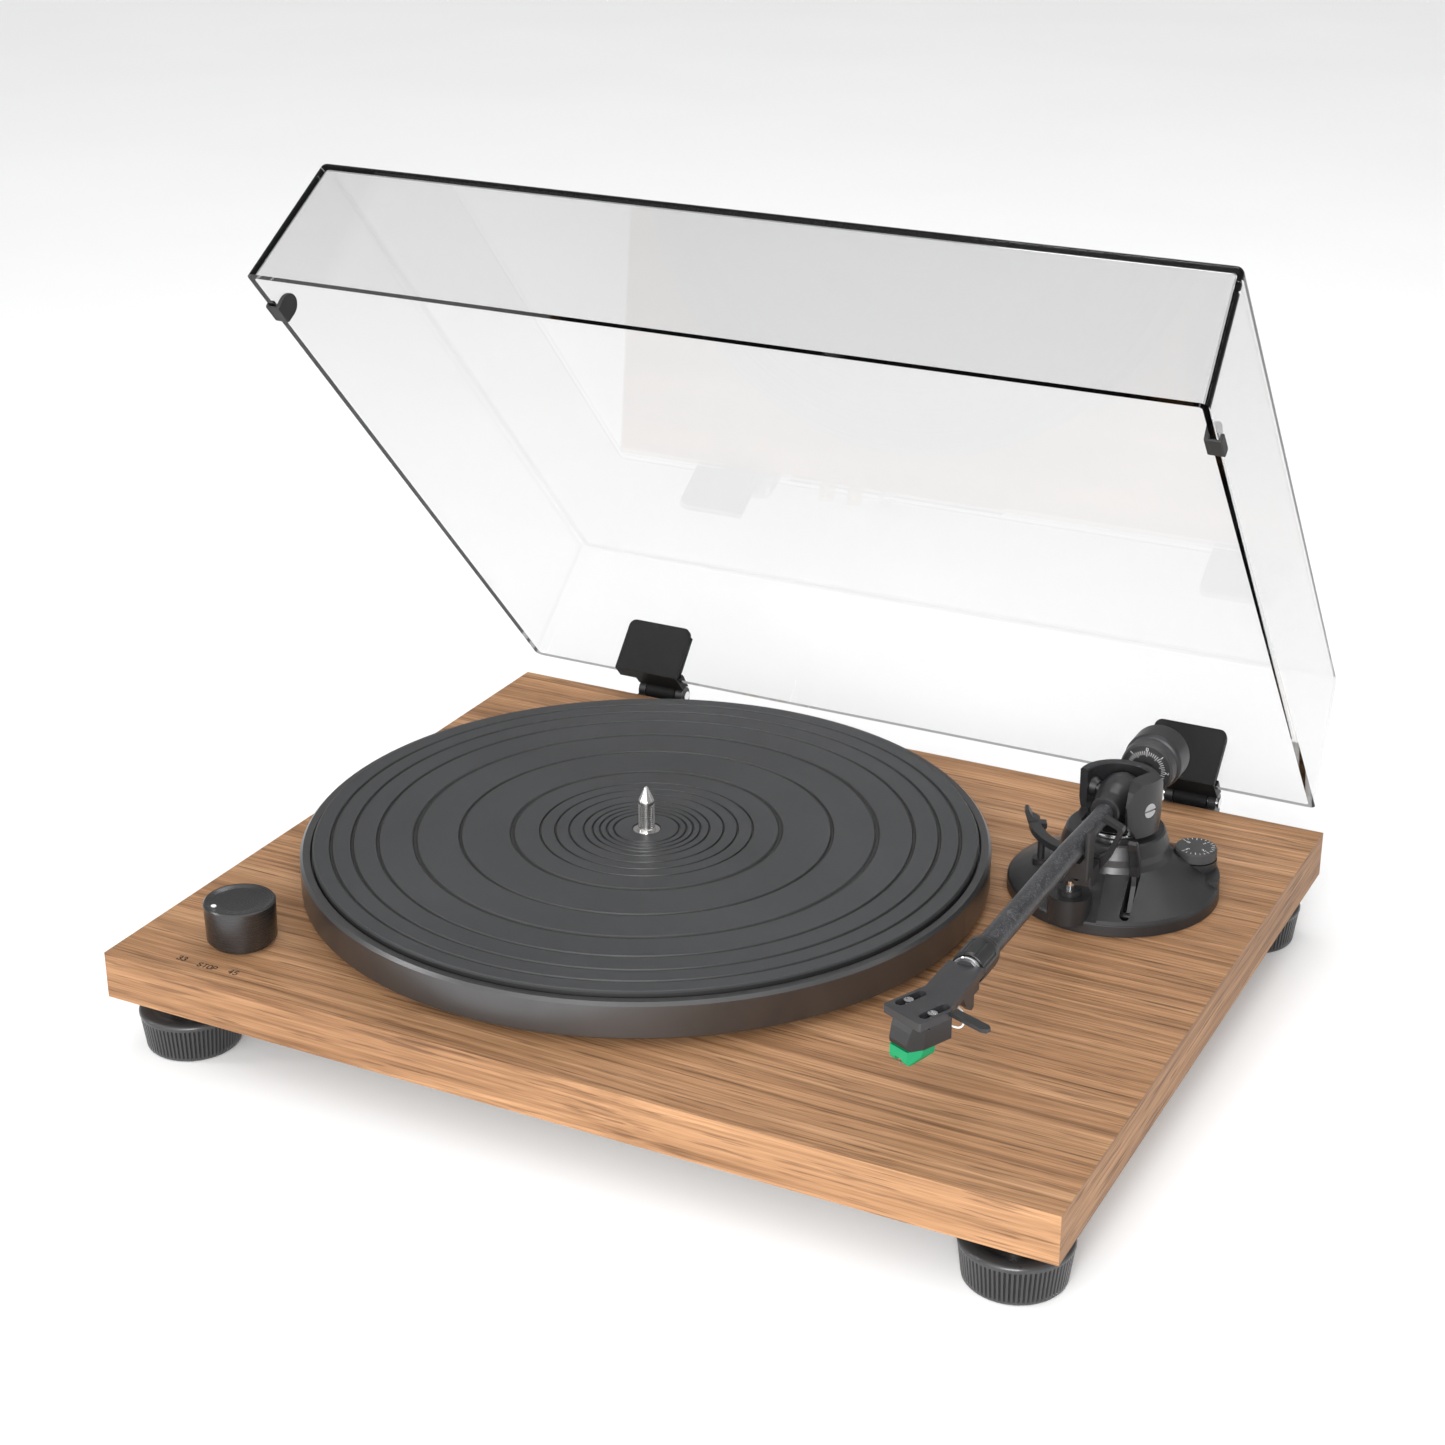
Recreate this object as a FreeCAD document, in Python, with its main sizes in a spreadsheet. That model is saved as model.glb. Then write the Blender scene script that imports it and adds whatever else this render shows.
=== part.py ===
import FreeCAD
import Part
import Sketcher
import math
import os

# Belt-drive record player, lid open.
# Frame: +Z up, +X to the right seen from the front, the front faces -Y. The origin lies on the ground plane
# under the middle of the object's outline box.

Vector = FreeCAD.Vector
Rotation = FreeCAD.Rotation
Placement = FreeCAD.Placement

doc = FreeCAD.newDocument("record_player")
sheet = doc.addObject("Spreadsheet::Sheet", "Dims")

SIZES = {
    # plinth
    "plinth_width": 420.0,
    "plinth_depth": 340.8,
    "plinth_thick": 20.8,
    "plinth_centre_y": -22.8,
    "plinth_top": 46.7,
    "pocket_half_x": 172.0,
    "pocket_half_y": 158.0,
    "pocket_height": 14.3,
    # feet
    "foot_x": 185.8,
    "foot_y": 147.3,
    "foot_height": 18.0,
    "foot_radius": 21.9,
    "foot_radius_low": 19.8,
    # platter
    "platter_x": -44.1,
    "platter_y": -27.4,
    "platter_radius": 150.0,
    "platter_low": 50.7,
    "platter_rim": 66.7,
    "mat_radius": 144.6,
    "mat_top": 68.9,
    "spindle_radius": 3.55,
    "spindle_tip": 88.9,
    "shaft_radius": 5.0,
    "hub_radius": 62.0,
    "motor_x": -104.0,
    "motor_y": 32.6,
    "pulley_radius": 6.2,
    # speed knob
    "knob_x": -165.0,
    "knob_y": -158.8,
    "knob_radius": 15.0,
    "knob_top": 66.2,
    # tonearm
    "base_x": 142.7,
    "base_y": 52.0,
    "base_radius": 45.7,
    "pivot_x": 142.7,
    "pivot_y": 52.0,
    "arm_z": 90.7,
    "offset_angle": -23.9,
    "tube_radius": 4.9,
    "lever_yaw": 6.4,
    "weight_radius": 13.2,
    "weight_drop": 2.6,
    # dust cover, in its closed place
    "lid_width": 410.0,
    "lid_depth": 333.3,
    "lid_height": 63.0,
    "lid_side_draft": 5.4,
    "lid_front_draft": 5.3,
    "lid_back_draft": 8.2,
    "lid_wall": 3.0,
    "lid_back_y": 144.2,
    "lid_low": 48.2,
    "lid_open": 48.4,
    "hinge_x": 140.0,
    "hinge_y": 156.6,
    "hinge_z": 46.7,
    "hinge_pin": 2.5,
    # rear terminals
    "panel_x": -50.0,
    "panel_width": 118.0,
    "jack_radius": 4.15,
    # fits
    "running_fit": 0.05,
}
for row, (alias, value) in enumerate(SIZES.items(), start=1):
    sheet.set("A%d" % row, alias)
    sheet.set("B%d" % row, repr(value))
    sheet.setAlias("B%d" % row, alias)
doc.recompute()


class Size:
    """A length with its value and the formula that ties it to the sheet."""

    def __init__(self, value, formula):
        self.value = value
        self.formula = formula

    def joined(self, sign, other, swap=False):
        v, f = (other.value, other.formula) if isinstance(other, Size) else (float(other), repr(float(other)))
        a, b = ((v, f), (self.value, self.formula)) if swap else ((self.value, self.formula), (v, f))
        result = {"+": a[0] + b[0], "-": a[0] - b[0], "*": a[0] * b[0]}[sign]
        return Size(result, "(%s %s %s)" % (a[1], sign, b[1]))

    def __add__(self, other):
        return self.joined("+", other)

    def __radd__(self, other):
        return self.joined("+", other, True)

    def __sub__(self, other):
        return self.joined("-", other)

    def __rsub__(self, other):
        return self.joined("-", other, True)

    def __mul__(self, other):
        return self.joined("*", other)

    def __rmul__(self, other):
        return self.joined("*", other, True)

    def __neg__(self):
        return self.joined("*", -1.0)


def dim(alias):
    return Size(SIZES[alias], "Dims." + alias)


def number(q):
    return q.value if isinstance(q, Size) else float(q)


def bind(obj, prop, q):
    """Set a property, and tie it to the sheet when the size comes from there."""
    if isinstance(q, Size):
        obj.setExpression(prop, q.formula)
    elif prop.startswith("Placement.Base."):
        base = obj.Placement.Base
        setattr(base, prop[-1], q)
        obj.Placement.Base = base
    else:
        setattr(obj, prop, q)


def place(obj, x, y, z, rotation=None):
    obj.Placement = Placement(Vector(number(x), number(y), number(z)), rotation or Rotation())
    for letter, q in zip("xyz", (x, y, z)):
        if isinstance(q, Size):
            bind(obj, "Placement.Base." + letter, q)
    return obj


ALONG = {
    "z": Rotation(),
    "x": Rotation(Vector(0, 1, 0), 90),
    "y": Rotation(Vector(1, 0, 0), -90),
    "-z": Rotation(Vector(1, 0, 0), 180),
    "-y": Rotation(Vector(1, 0, 0), 90),
}

count = {"n": 0}


def fresh(kind):
    count["n"] += 1
    return "%s_%03d" % (kind, count["n"])


def box(x0, x1, y0, y1, z0, z1):
    """A box between two corners."""
    obj = doc.addObject("Part::Box", fresh("block"))
    bind(obj, "Length", x1 - x0)
    bind(obj, "Width", y1 - y0)
    bind(obj, "Height", z1 - z0)
    return place(obj, x0, y0, z0)


def cylinder(x, y, z, radius, height, along="z"):
    obj = doc.addObject("Part::Cylinder", fresh("round"))
    bind(obj, "Radius", radius)
    bind(obj, "Height", height)
    return place(obj, x, y, z, ALONG[along])


def cone(x, y, z, radius, radius_end, height, along="z"):
    obj = doc.addObject("Part::Cone", fresh("taper"))
    bind(obj, "Radius1", radius)
    bind(obj, "Radius2", radius_end)
    bind(obj, "Height", height)
    return place(obj, x, y, z, ALONG[along])


def torus(x, y, z, radius, section, along="z"):
    obj = doc.addObject("Part::Torus", fresh("ring"))
    bind(obj, "Radius1", radius)
    bind(obj, "Radius2", section)
    return place(obj, x, y, z, ALONG[along])


def fuse(*pieces):
    obj = doc.addObject("Part::MultiFuse", fresh("joined"))
    obj.Shapes = list(pieces)
    obj.Refine = True
    return obj


def common(a, b):
    obj = doc.addObject("Part::MultiCommon", fresh("shared"))
    obj.Shapes = [a, b]
    return obj


def cut(base, *tools):
    obj = doc.addObject("Part::Cut", fresh("cut"))
    obj.Base = base
    obj.Tool = tools[0] if len(tools) == 1 else fuse(*tools)
    return obj


def group(*pieces):
    obj = doc.addObject("Part::Compound", fresh("set"))
    obj.Links = list(pieces)
    return obj


def rounded(base, radius, wanted):
    """Fillet the edges of base for which wanted(edge) is true."""
    doc.recompute()
    obj = doc.addObject("Part::Fillet", fresh("rounded"))
    obj.Base = base
    obj.Edges = [(i, radius, radius) for i, e in enumerate(base.Shape.Edges, start=1) if wanted(e)]
    return obj


def bevelled(base, size, wanted):
    doc.recompute()
    obj = doc.addObject("Part::Chamfer", fresh("bevelled"))
    obj.Base = base
    obj.Edges = [(i, size, size) for i, e in enumerate(base.Shape.Edges, start=1) if wanted(e)]
    return obj


def plane_of(body, role):
    return [f for f in body.Origin.OriginFeatures if f.Role == role][0]


def outline(body, role, points, offset=0.0):
    """A closed sketch of straight lines on one of the body's own planes, each corner held by two distances."""
    sketch = body.newObject("Sketcher::SketchObject", fresh("outline"))
    sketch.AttachmentSupport = [(plane_of(body, role), "")]
    sketch.MapMode = "FlatFace"
    if isinstance(offset, Size) or offset:
        sketch.AttachmentOffset = Placement(Vector(0, 0, number(offset)), Rotation())
        if isinstance(offset, Size):
            sketch.setExpression("AttachmentOffset.Base.z", offset.formula)
    corners = [Vector(number(a), number(b), 0) for a, b in points]
    total = len(corners)
    for i in range(total):
        sketch.addGeometry(Part.LineSegment(corners[i], corners[(i + 1) % total]), False)
    for i in range(total):
        sketch.addConstraint(Sketcher.Constraint("Coincident", i, 2, (i + 1) % total, 1))
    for i, (a, b) in enumerate(points):
        for kind, q, axis in (("DistanceX", a, -2), ("DistanceY", b, -1)):
            if abs(number(q)) < 1e-9:
                sketch.addConstraint(Sketcher.Constraint("PointOnObject", i, 1, axis))
            else:
                k = sketch.addConstraint(Sketcher.Constraint(kind, -1, 1, i, 1, number(q)))
                if isinstance(q, Size):
                    sketch.setExpression("Constraints[%d]" % k, q.formula)
    return sketch


def turned(points, x, y, z, along="z"):
    """A body turned from (radius, height) points about its own axis."""
    body = doc.addObject("PartDesign::Body", fresh("turned"))
    sketch = outline(body, "XZ_Plane", points)
    turn = body.newObject("PartDesign::Revolution", fresh("turn"))
    turn.Profile = sketch
    turn.ReferenceAxis = (sketch, ["V_Axis"])
    turn.Angle = 360.0
    sketch.Visibility = False
    return place(body, x, y, z, ALONG[along])


def extruded(role, points, start, length, x=0.0, y=0.0, z=0.0, rotation=None):
    """A body padded from an outline on XY_Plane (up), YZ_Plane (towards +X) or XZ_Plane (towards -Y)."""
    body = doc.addObject("PartDesign::Body", fresh("padded"))
    sketch = outline(body, role, points, start)
    pad = body.newObject("PartDesign::Pad", fresh("pad"))
    pad.Profile = sketch
    bind(pad, "Length", length)
    sketch.Visibility = False
    return place(body, x, y, z, rotation)


PARTS = {}


def part(label, obj):
    """Keep the object as a sub-part of the record player under this name."""
    obj.Label = label
    PARTS[label] = obj
    return obj


def is_upright(edge):
    d = edge.tangentAt(edge.FirstParameter)
    return len(edge.Vertexes) == 2 and edge.Curve.TypeId == "Part::GeomLine" and abs(d.z) > 0.9


def at_height(z, tolerance=0.02):
    return lambda e: all(abs(v.Z - number(z)) < tolerance for v in e.Vertexes)


# ------------------------------------------------------------------ plinth
half_w = dim("plinth_width") * 0.5
half_d = dim("plinth_depth") * 0.5
centre_y = dim("plinth_centre_y")
top = dim("plinth_top")
under = top - dim("plinth_thick")
px, py = dim("platter_x"), dim("platter_y")
mx, my = dim("motor_x"), dim("motor_y")
kx, ky = dim("knob_x"), dim("knob_y")
bx, by = dim("base_x"), dim("base_y")
ax, ay, az = dim("pivot_x"), dim("pivot_y"), dim("arm_z")
back = centre_y + half_d
fit = dim("running_fit")
jx = dim("panel_x")

slab = box(-half_w, half_w, centre_y - half_d, back, under, top)
pocket = box(-dim("pocket_half_x"), dim("pocket_half_x"), centre_y - dim("pocket_half_y"),
             centre_y + dim("pocket_half_y"), under - 1.0, under + dim("pocket_height"))
rebate = box(-dim("pocket_half_x") - 6.0, dim("pocket_half_x") + 6.0, centre_y - dim("pocket_half_y") - 5.0,
             centre_y + dim("pocket_half_y") + 5.0, under - 1.0, under + 1.6)
holes = [
    cylinder(px, py, under, 9.2, 30.0),
    cylinder(mx, my, under, 20.0, 30.0),
    cylinder(kx, ky, under, 5.0, 30.0),
    cylinder(bx, by, under, 12.0, 30.0),
    box(jx - 54.0, jx + 54.0, back - 20.0, back + 1.0, under + 2.6, top - 4.2),
]
for sx in (-1, 1):
    for sy in (-1, 1):
        holes.append(cylinder(dim("foot_x") * sx, centre_y + dim("foot_y") * sy, under - 1.0, 4.0 + fit, 17.0))
SCREW_ANGLES = (80, 165, 345)
for angle in SCREW_ANGLES:
    a = math.radians(angle)
    holes.append(cylinder(bx + 24.0 * math.cos(a), by + 24.0 * math.sin(a), under, 2.05, 30.0))
plinth = part("plinth", cut(slab, pocket, rebate, *holes))

# bottom cover, a hardboard plate let into the rebate, with vent slots
cx = dim("pocket_half_x") + 5.7
cy = dim("pocket_half_y") + 4.7
plate = box(-cx, cx, centre_y - cy, centre_y + cy, under + 0.1, under + 1.5)
vents = [box(-60.0 + 12 * i, -54.0 + 12 * i, 20.0, 80.0, under - 1, under + 3) for i in range(9)]
SCREWS_X = (-150.0, 0.0, 150.0)
cover_holes = [
    cylinder(x, centre_y + (dim("pocket_half_y") + 2.4) * s, under - 1, 1.6, 5.0) for x in SCREWS_X for s in (-1, 1)
]
part("bottom_cover", cut(plate, *(vents + cover_holes)))
screws = []
for x in SCREWS_X:
    for s in (-1, 1):
        y = centre_y + (dim("pocket_half_y") + 2.4) * s
        head = cylinder(x, y, under - 1.2, 2.4, 1.3)
        shank = cylinder(x, y, under - 0.2, 1.55, 1.8)
        drive = box(x - 0.35, x + 0.35, y - 3.0, y + 3.0, under - 1.3, under - 0.7)
        screws.append(cut(fuse(head, shank), drive))

# ------------------------------------------------------------------ feet: a tapered disc on a threaded stud
for sx, side in ((-1, "left"), (1, "right")):
    for sy, end in ((-1, "front"), (1, "rear")):
        fh = dim("foot_height")
        fr = dim("foot_radius")
        profile = [
            (0.0, 0.0), (dim("foot_radius_low") - 1.0, 0.0), (dim("foot_radius_low"), 1.0), (fr, fh - 1.6),
            (fr - 1.4, fh), (16.0, fh), (14.5, fh - 1.2), (8.0, fh - 1.2), (7.0, under - 0.4), (4.0, under - 0.4),
            (4.0, under + 13.0), (3.2, under + 14.0), (0.0, under + 14.0),
        ]
        foot = turned(profile, dim("foot_x") * sx, centre_y + dim("foot_y") * sy, 0.0)
        part("foot_%s_%s" % (end, side), foot)

# ------------------------------------------------------------------ platter, mat, spindle and bearing
low, rim, pr = dim("platter_low"), dim("platter_rim"), dim("platter_radius")
sr = dim("shaft_radius")
platter_profile = [
    (sr + 1.0, low + 1.0), (20.0, low + 1.0), (20.0, rim - 7.5), (dim("hub_radius") - 3.0, rim - 7.5),
    (dim("hub_radius") - 3.0, low + 1.0), (dim("hub_radius"), low + 1.0), (dim("hub_radius"), rim - 7.5),
    (pr - 9.0, rim - 7.5), (pr - 7.0, rim - 9.5), (pr - 5.0, low), (pr - 0.8, low), (pr, low + 0.8),
    (pr, rim - 1.4), (pr - 1.3, rim), (pr - 4.4, rim), (pr - 4.8, rim - 0.4), (pr - 5.0, rim - 2.4),
    (sr + 1.0, rim - 2.4),
]
part("platter", turned(platter_profile, px, py, 0.0))

mt, mr = dim("mat_top"), dim("mat_radius")
GROOVES = (136.5, 127.5, 116.5, 100.5, 81.0, 58.5, 46.4, 39.8, 33.7, 27.4, 23.5, 20.4, 17.4, 14.3)
mat_profile = [(sr + 1.3, rim - 2.3), (mr - 1.0, rim - 2.3), (mr, rim - 1.3), (mr, mt - 0.9), (mr - 0.9, mt)]
for r in GROOVES:
    half = 0.9 if r in (136.5, 127.5, 116.5, 81.0) else (1.3 if r in (100.5, 58.5) else 0.55)
    mat_profile += [(r + half, mt), (r + half * 0.4, mt - 0.8), (r - half * 0.4, mt - 0.8), (r - half, mt)]
mat_profile += [(sr + 1.3, mt)]
part("platter_mat", turned(mat_profile, px, py, 0.0))

rs = dim("spindle_radius")
tip = dim("spindle_tip")
spindle_profile = [
    (0.0, under + 5.3), (sr - 0.8, under + 5.3), (sr, under + 6.1), (sr, low + 0.2), (sr + 0.9, low + 0.6),
    (sr + 0.9, mt - 0.4), (rs + 0.5, mt - 0.4), (rs + 0.5, mt + 0.5), (rs, mt + 0.9), (rs, tip - 6.5),
    (rs - 0.3, tip - 5.7), (1.0, tip - 0.4), (0.4, tip), (0.0, tip),
]
part("spindle", turned(spindle_profile, px, py, 0.0))

housing_profile = [
    (0.0, under + 2.2), (8.0, under + 2.2), (9.0, under + 3.2), (9.0, top + 0.02), (22.0, top + 0.02),
    (22.0, top + 1.4), (21.4, top + 2.0), (9.0, top + 2.0), (9.0, top + 3.4), (sr + fit, top + 3.4),
    (sr + fit, under + 5.2), (0.0, under + 5.2),
]
part("bearing_housing", turned(housing_profile, px, py, 0.0))

# ------------------------------------------------------------------ motor, bracket, pulley and belt
can = turned([(0.0, under + 2.6), (16.5, under + 2.6), (18.0, under + 4.1), (18.0, top - 0.2), (16.8, top + 1.2),
              (6.0, top + 1.2), (6.0, top + 2.6), (1.6, top + 2.6), (1.6, top + 1.4), (0.0, top + 1.4)], mx, my, 0.0)
part("motor", can)
bracket = box(mx - 27.0, mx + 27.0, my - 27.0, my + 27.0, top + 0.02, top + 1.2)
bracket_holes = [cylinder(mx, my, top - 2.0, 18.3, 8.0)]
bracket_bolts = []
for sx in (-1, 1):
    for sy in (-1, 1):
        bracket_holes.append(cylinder(mx + 22.0 * sx, my + 22.0 * sy, top - 1, 1.8, 6.0))
        shank = cylinder(mx + 22.0 * sx, my + 22.0 * sy, top + 0.1, 1.75, 1.2)
        bracket_bolts.append(fuse(shank, cylinder(mx + 22.0 * sx, my + 22.0 * sy, top + 1.2, 3.4, 1.6)))
bracket_plate = rounded(bracket, 5.0, is_upright)
part("motor_bracket", cut(bracket_plate, *bracket_holes))
part("motor_screws", group(*bracket_bolts))

rp = dim("pulley_radius")
# the pulley carries a flywheel disc below the belt
pulley_profile = [
    (0.0, top + 1.8), (1.55, top + 1.8), (1.55, top + 3.0), (19.0, top + 3.0), (19.0, top + 5.0), (rp, top + 5.0),
    (rp, top + 10.2), (rp + 1.2, top + 11.0), (rp + 1.2, top + 11.8), (0.0, top + 11.8),
]
part("motor_pulley", turned(pulley_profile, mx, my, 0.0))


def belt_outline(gap, z):
    """Closed loop of two arcs and two tangents round the hub and the pulley, gap outside their faces."""
    c1 = Vector(number(px), number(py), z)
    c2 = Vector(number(mx), number(my), z)
    r1 = number(dim("hub_radius")) + gap
    r2 = number(rp) + gap
    span = c2 - c1
    base_angle = math.atan2(span.y, span.x)
    lean = math.acos((r1 - r2) / span.Length)
    points = {}
    for sign in (-1, 1):
        n = Vector(math.cos(base_angle + sign * lean), math.sin(base_angle + sign * lean), 0)
        points[sign] = (c1 + n * r1, c2 + n * r2)
    far = span.normalize()
    big = Part.Arc(points[1][0], c1 - far * r1, points[-1][0]).toShape()
    small = Part.Arc(points[-1][1], c2 + far * r2, points[1][1]).toShape()
    return Part.Wire([big, Part.makeLine(points[-1][0], points[-1][1]), small,
                      Part.makeLine(points[1][1], points[1][0])])


belt_low = number(top) + 5.4
loop = Part.Face(belt_outline(1.1, belt_low)).cut(Part.Face(belt_outline(0.3, belt_low)))
belt = doc.addObject("Part::Feature", "belt")
belt.Shape = loop.Faces[0].extrude(Vector(0, 0, 4.2))
belt.Placement = Placement()
part("drive_belt", belt)

# ------------------------------------------------------------------ speed knob and its switch
kr, kt = dim("knob_radius"), dim("knob_top")
knob_profile = [
    (0.0, under + 6.0), (3.0, under + 6.0), (3.0, top + 0.4), (12.6, top + 0.4), (12.9, top + 0.8),
    (12.9, top + 2.4), (kr - 0.7, top + 2.4), (kr - 0.35, top + 2.8), (kr, kt - 0.6), (kr - 0.6, kt),
    (kr - 1.2, kt - 0.05), (kr - 3.2, kt - 0.8), (8.0, kt - 1.35), (0.0, kt - 1.6),
]
dot_angle = math.radians(231.0)
dot_x = kx + 10.9 * math.cos(dot_angle)
dot_y = ky + 10.9 * math.sin(dot_angle)
knob = turned(knob_profile, kx, ky, 0.0)
dot_hole = cylinder(dot_x, dot_y, kt - 1.5, 1.15, 3.0)
part("speed_knob", cut(knob, dot_hole))
part("knob_dot", cylinder(dot_x, dot_y, kt - 1.48, 1.13, 0.85))
switch_body = box(kx - 6.5, kx + 6.5, ky - 6.5, ky + 6.5, under + 4.8, under + dim("pocket_height") - 0.1)
part("speed_switch", cut(switch_body, cylinder(kx, ky, under + 5.6, 3.0 + fit, 20.0)))

# ------------------------------------------------------------------ control board
board = box(-30.0, 60.0, 70.0, 118.0, under + 4.0, under + 5.6)
bits = [
    box(-22.0, -6.0, 80.0, 92.0, under + 5.6, under + 9.6),
    box(2.0, 10.0, 78.0, 90.0, under + 5.6, under + 8.0),
    cylinder(24.0, 84.0, under + 5.6, 4.0, 7.5),
    cylinder(36.0, 84.0, under + 5.6, 4.0, 7.5),
    cylinder(48.0, 84.0, under + 5.6, 3.2, 6.0),
    box(16.0, 44.0, 98.0, 108.0, under + 5.6, under + 10.0),
    box(-24.0, -4.0, 100.0, 112.0, under + 5.6, under + 12.0),
]
stands = [cylinder(x, y, under + 1.52, 2.5, 2.5) for x in (-25.0, 55.0) for y in (74.0, 114.0)]
part("control_board", fuse(board, *(bits + stands)))

# ------------------------------------------------------------------ rear terminals
pw = dim("panel_width") * 0.5
jz = under + 9.6
plate = box(jx - pw, jx + pw, back + 0.02, back + 1.6, under + 0.6, top - 1.2)
LEFT_JACK, RIGHT_JACK, GROUND, INLET, SELECTOR = -42.0, -26.0, -8.0, 38.0, 14.0
panel_holes = [cylinder(jx + d, back - 1, jz, 3.2, 6.0, "y") for d in (LEFT_JACK, RIGHT_JACK)]
panel_holes.append(cylinder(jx + GROUND, back - 1, jz, 1.9, 6.0, "y"))
panel_holes.append(cylinder(jx + INLET, back - 1, jz, 5.0, 6.0, "y"))
panel_holes.append(box(jx + SELECTOR - 6.0, jx + SELECTOR + 6.0, back - 1, back + 4, jz - 2.5, jz + 2.5))
for s in (-1, 1):
    panel_holes.append(cylinder(jx + 56.0 * s, back - 1, jz, 1.4, 6.0, "y"))
part("rear_panel", cut(plate, *panel_holes))
jacks = []
for d in (LEFT_JACK, RIGHT_JACK):
    shell = fuse(cylinder(jx + d, back + 1.62, jz, 5.6, 1.2, "y"),
                 cylinder(jx + d, back + 1.62, jz, dim("jack_radius"), 10.0, "y"),
                 cylinder(jx + d, back - 6.0, jz, 3.15, 8.0, "y"))
    jacks.append(cut(shell, cylinder(jx + d, back + 2.0, jz, 1.65, 12.0, "y")))
part("audio_jacks", group(*jacks))
ground = fuse(cylinder(jx + GROUND, back - 4.0, jz, 1.85, 14.0, "y"), cylinder(jx + GROUND, back + 1.62, jz, 4.2, 1.0, "y"))
part("ground_terminal", ground)
nut = cylinder(jx + GROUND, back + 3.0, jz, 4.6, 5.0, "y")
flutes = []
for i in range(16):
    a = math.radians(22.5 * i)
    flutes.append(cylinder(jx + GROUND + 4.85 * math.cos(a), back + 2.0, jz + 4.85 * math.sin(a), 0.55, 8.0, "y"))
part("ground_nut", cut(nut, cylinder(jx + GROUND, back + 2.0, jz, 1.85 + fit, 8.0, "y"), *flutes))
inlet = fuse(cylinder(jx + INLET, back + 1.62, jz, 6.4, 1.2, "y"), cylinder(jx + INLET, back - 10.0, jz, 4.9, 12.0, "y"))
inlet_bore = cylinder(jx + INLET, back - 8.0, jz, 3.1, 12.0, "y")
part("dc_inlet", fuse(cut(inlet, inlet_bore), cylinder(jx + INLET, back - 8.5, jz, 1.0, 9.5, "y")))
frame = box(jx + SELECTOR - 5.9, jx + SELECTOR + 5.9, back - 6.0, back + 1.5, jz - 2.4, jz + 2.4)
part("selector_switch", cut(frame, box(jx + SELECTOR - 4.6, jx + SELECTOR + 4.6, back - 1.0, back + 4.0,
                                       jz - 1.5, jz + 1.5)))
part("selector_slider", box(jx + SELECTOR - 4.2, jx + SELECTOR - 0.6, back - 0.9, back + 3.2, jz - 1.2, jz + 1.2))

# ------------------------------------------------------------------ tonearm base
PIVOT = Vector(SIZES["pivot_x"], SIZES["pivot_y"], SIZES["arm_z"])
ON_YOKE = Placement(Vector(0, 0, 0), Rotation(Vector(0, 0, 1), SIZES["offset_angle"]), PIVOT)


def seated(*pieces):
    """The pieces, built square to the frame, turned with the bearing axis about the pivot."""
    obj = group(*pieces)
    obj.Placement = ON_YOKE
    return obj


br = dim("base_radius")
disc = turned([
    (0.0, top + 0.02), (br - 0.3, top + 0.02), (br, top + 0.4), (br - 0.2, top + 4.8), (br - 0.8, top + 5.6),
    (27.6, top + 15.6), (24.6, top + 18.6), (23.4, top + 21.4), (23.0, top + 24.4), (21.2, top + 29.8),
    (20.4, top + 30.5), (0.0, top + 30.5)], bx, by, 0.0)
rest_x, rest_y = bx - 5.2, by - 40.9
skate_x, skate_y = bx + 30.3, by + 19.4
lift_x, lift_y = ax - 28.7, ay - 13.3
lever_x, lever_y, lever_z = bx + 16.9, by - 28.2, top + 3.2
LEVER_SEAT = Placement(Vector(0, 0, 0), Rotation(Vector(0, 0, 1), SIZES["lever_yaw"]),
                       Vector(lever_x.value, lever_y.value, 0))

# raised sector round the lever's slot, 1.4 mm above the cone
raised = turned([(0.0, top + 3.0), (br - 0.25, top + 3.0), (br - 0.4, top + 5.4), (br - 1.4, top + 6.6),
                 (22.0, top + 20.4), (0.0, top + 20.4)], bx, by, 0.0)
sector = extruded("XY_Plane", [(bx, by), (bx + 10.9, by - 60.0), (bx + 70.0, by - 60.0), (bx + 70.0, by + 26.0)],
                  top + 2.0, 20.0)
skate_block = extruded("XY_Plane", [
    (skate_x - 9.0, skate_y), (skate_x + 1.6, skate_y - 14.6), (skate_x + 14.0, skate_y - 12.0),
    (skate_x + 12.0, skate_y + 6.0), (skate_x, skate_y + 9.0)], top + 2.0, 7.6)
envelope = turned([(0.0, top), (br - 0.25, top), (br - 0.25, top + 30.0), (0.0, top + 30.0)], bx, by, 0.0)
base_body = fuse(
    disc, common(raised, sector), common(skate_block, envelope),
    cylinder(rest_x, rest_y, top + 4.0, 9.2, 11.5),
    cylinder(rest_x, rest_y, top + 4.0, 5.0, 14.0),
    common(cylinder(skate_x, skate_y, top + 3.0, 9.3, 10.5), envelope),
    cylinder(lift_x, lift_y, top + 3.0, 3.6, 11.5),
)
slot_cut = fuse(
    box(lever_x - 2.1, lever_x + 2.1, lever_y - 9.4, lever_y + 9.4, top - 1.0, top + 28.0),
    cylinder(lever_x, lever_y - 9.4, top - 1.0, 2.1, 29.0),
    cylinder(lever_x, lever_y + 9.4, top - 1.0, 2.1, 29.0),
    box(lever_x - 4.2, lever_x + 4.2, lever_y - 4.0, lever_y + 4.0, top - 1.0, top + 5.8),
)
slot_cut.Placement = LEVER_SEAT
screw_holes = []
for angle in SCREW_ANGLES:
    a = math.radians(angle)
    screw_holes.append(cylinder(bx + 24.0 * math.cos(a), by + 24.0 * math.sin(a), top - 1.0, 2.05, 8.0))
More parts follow.
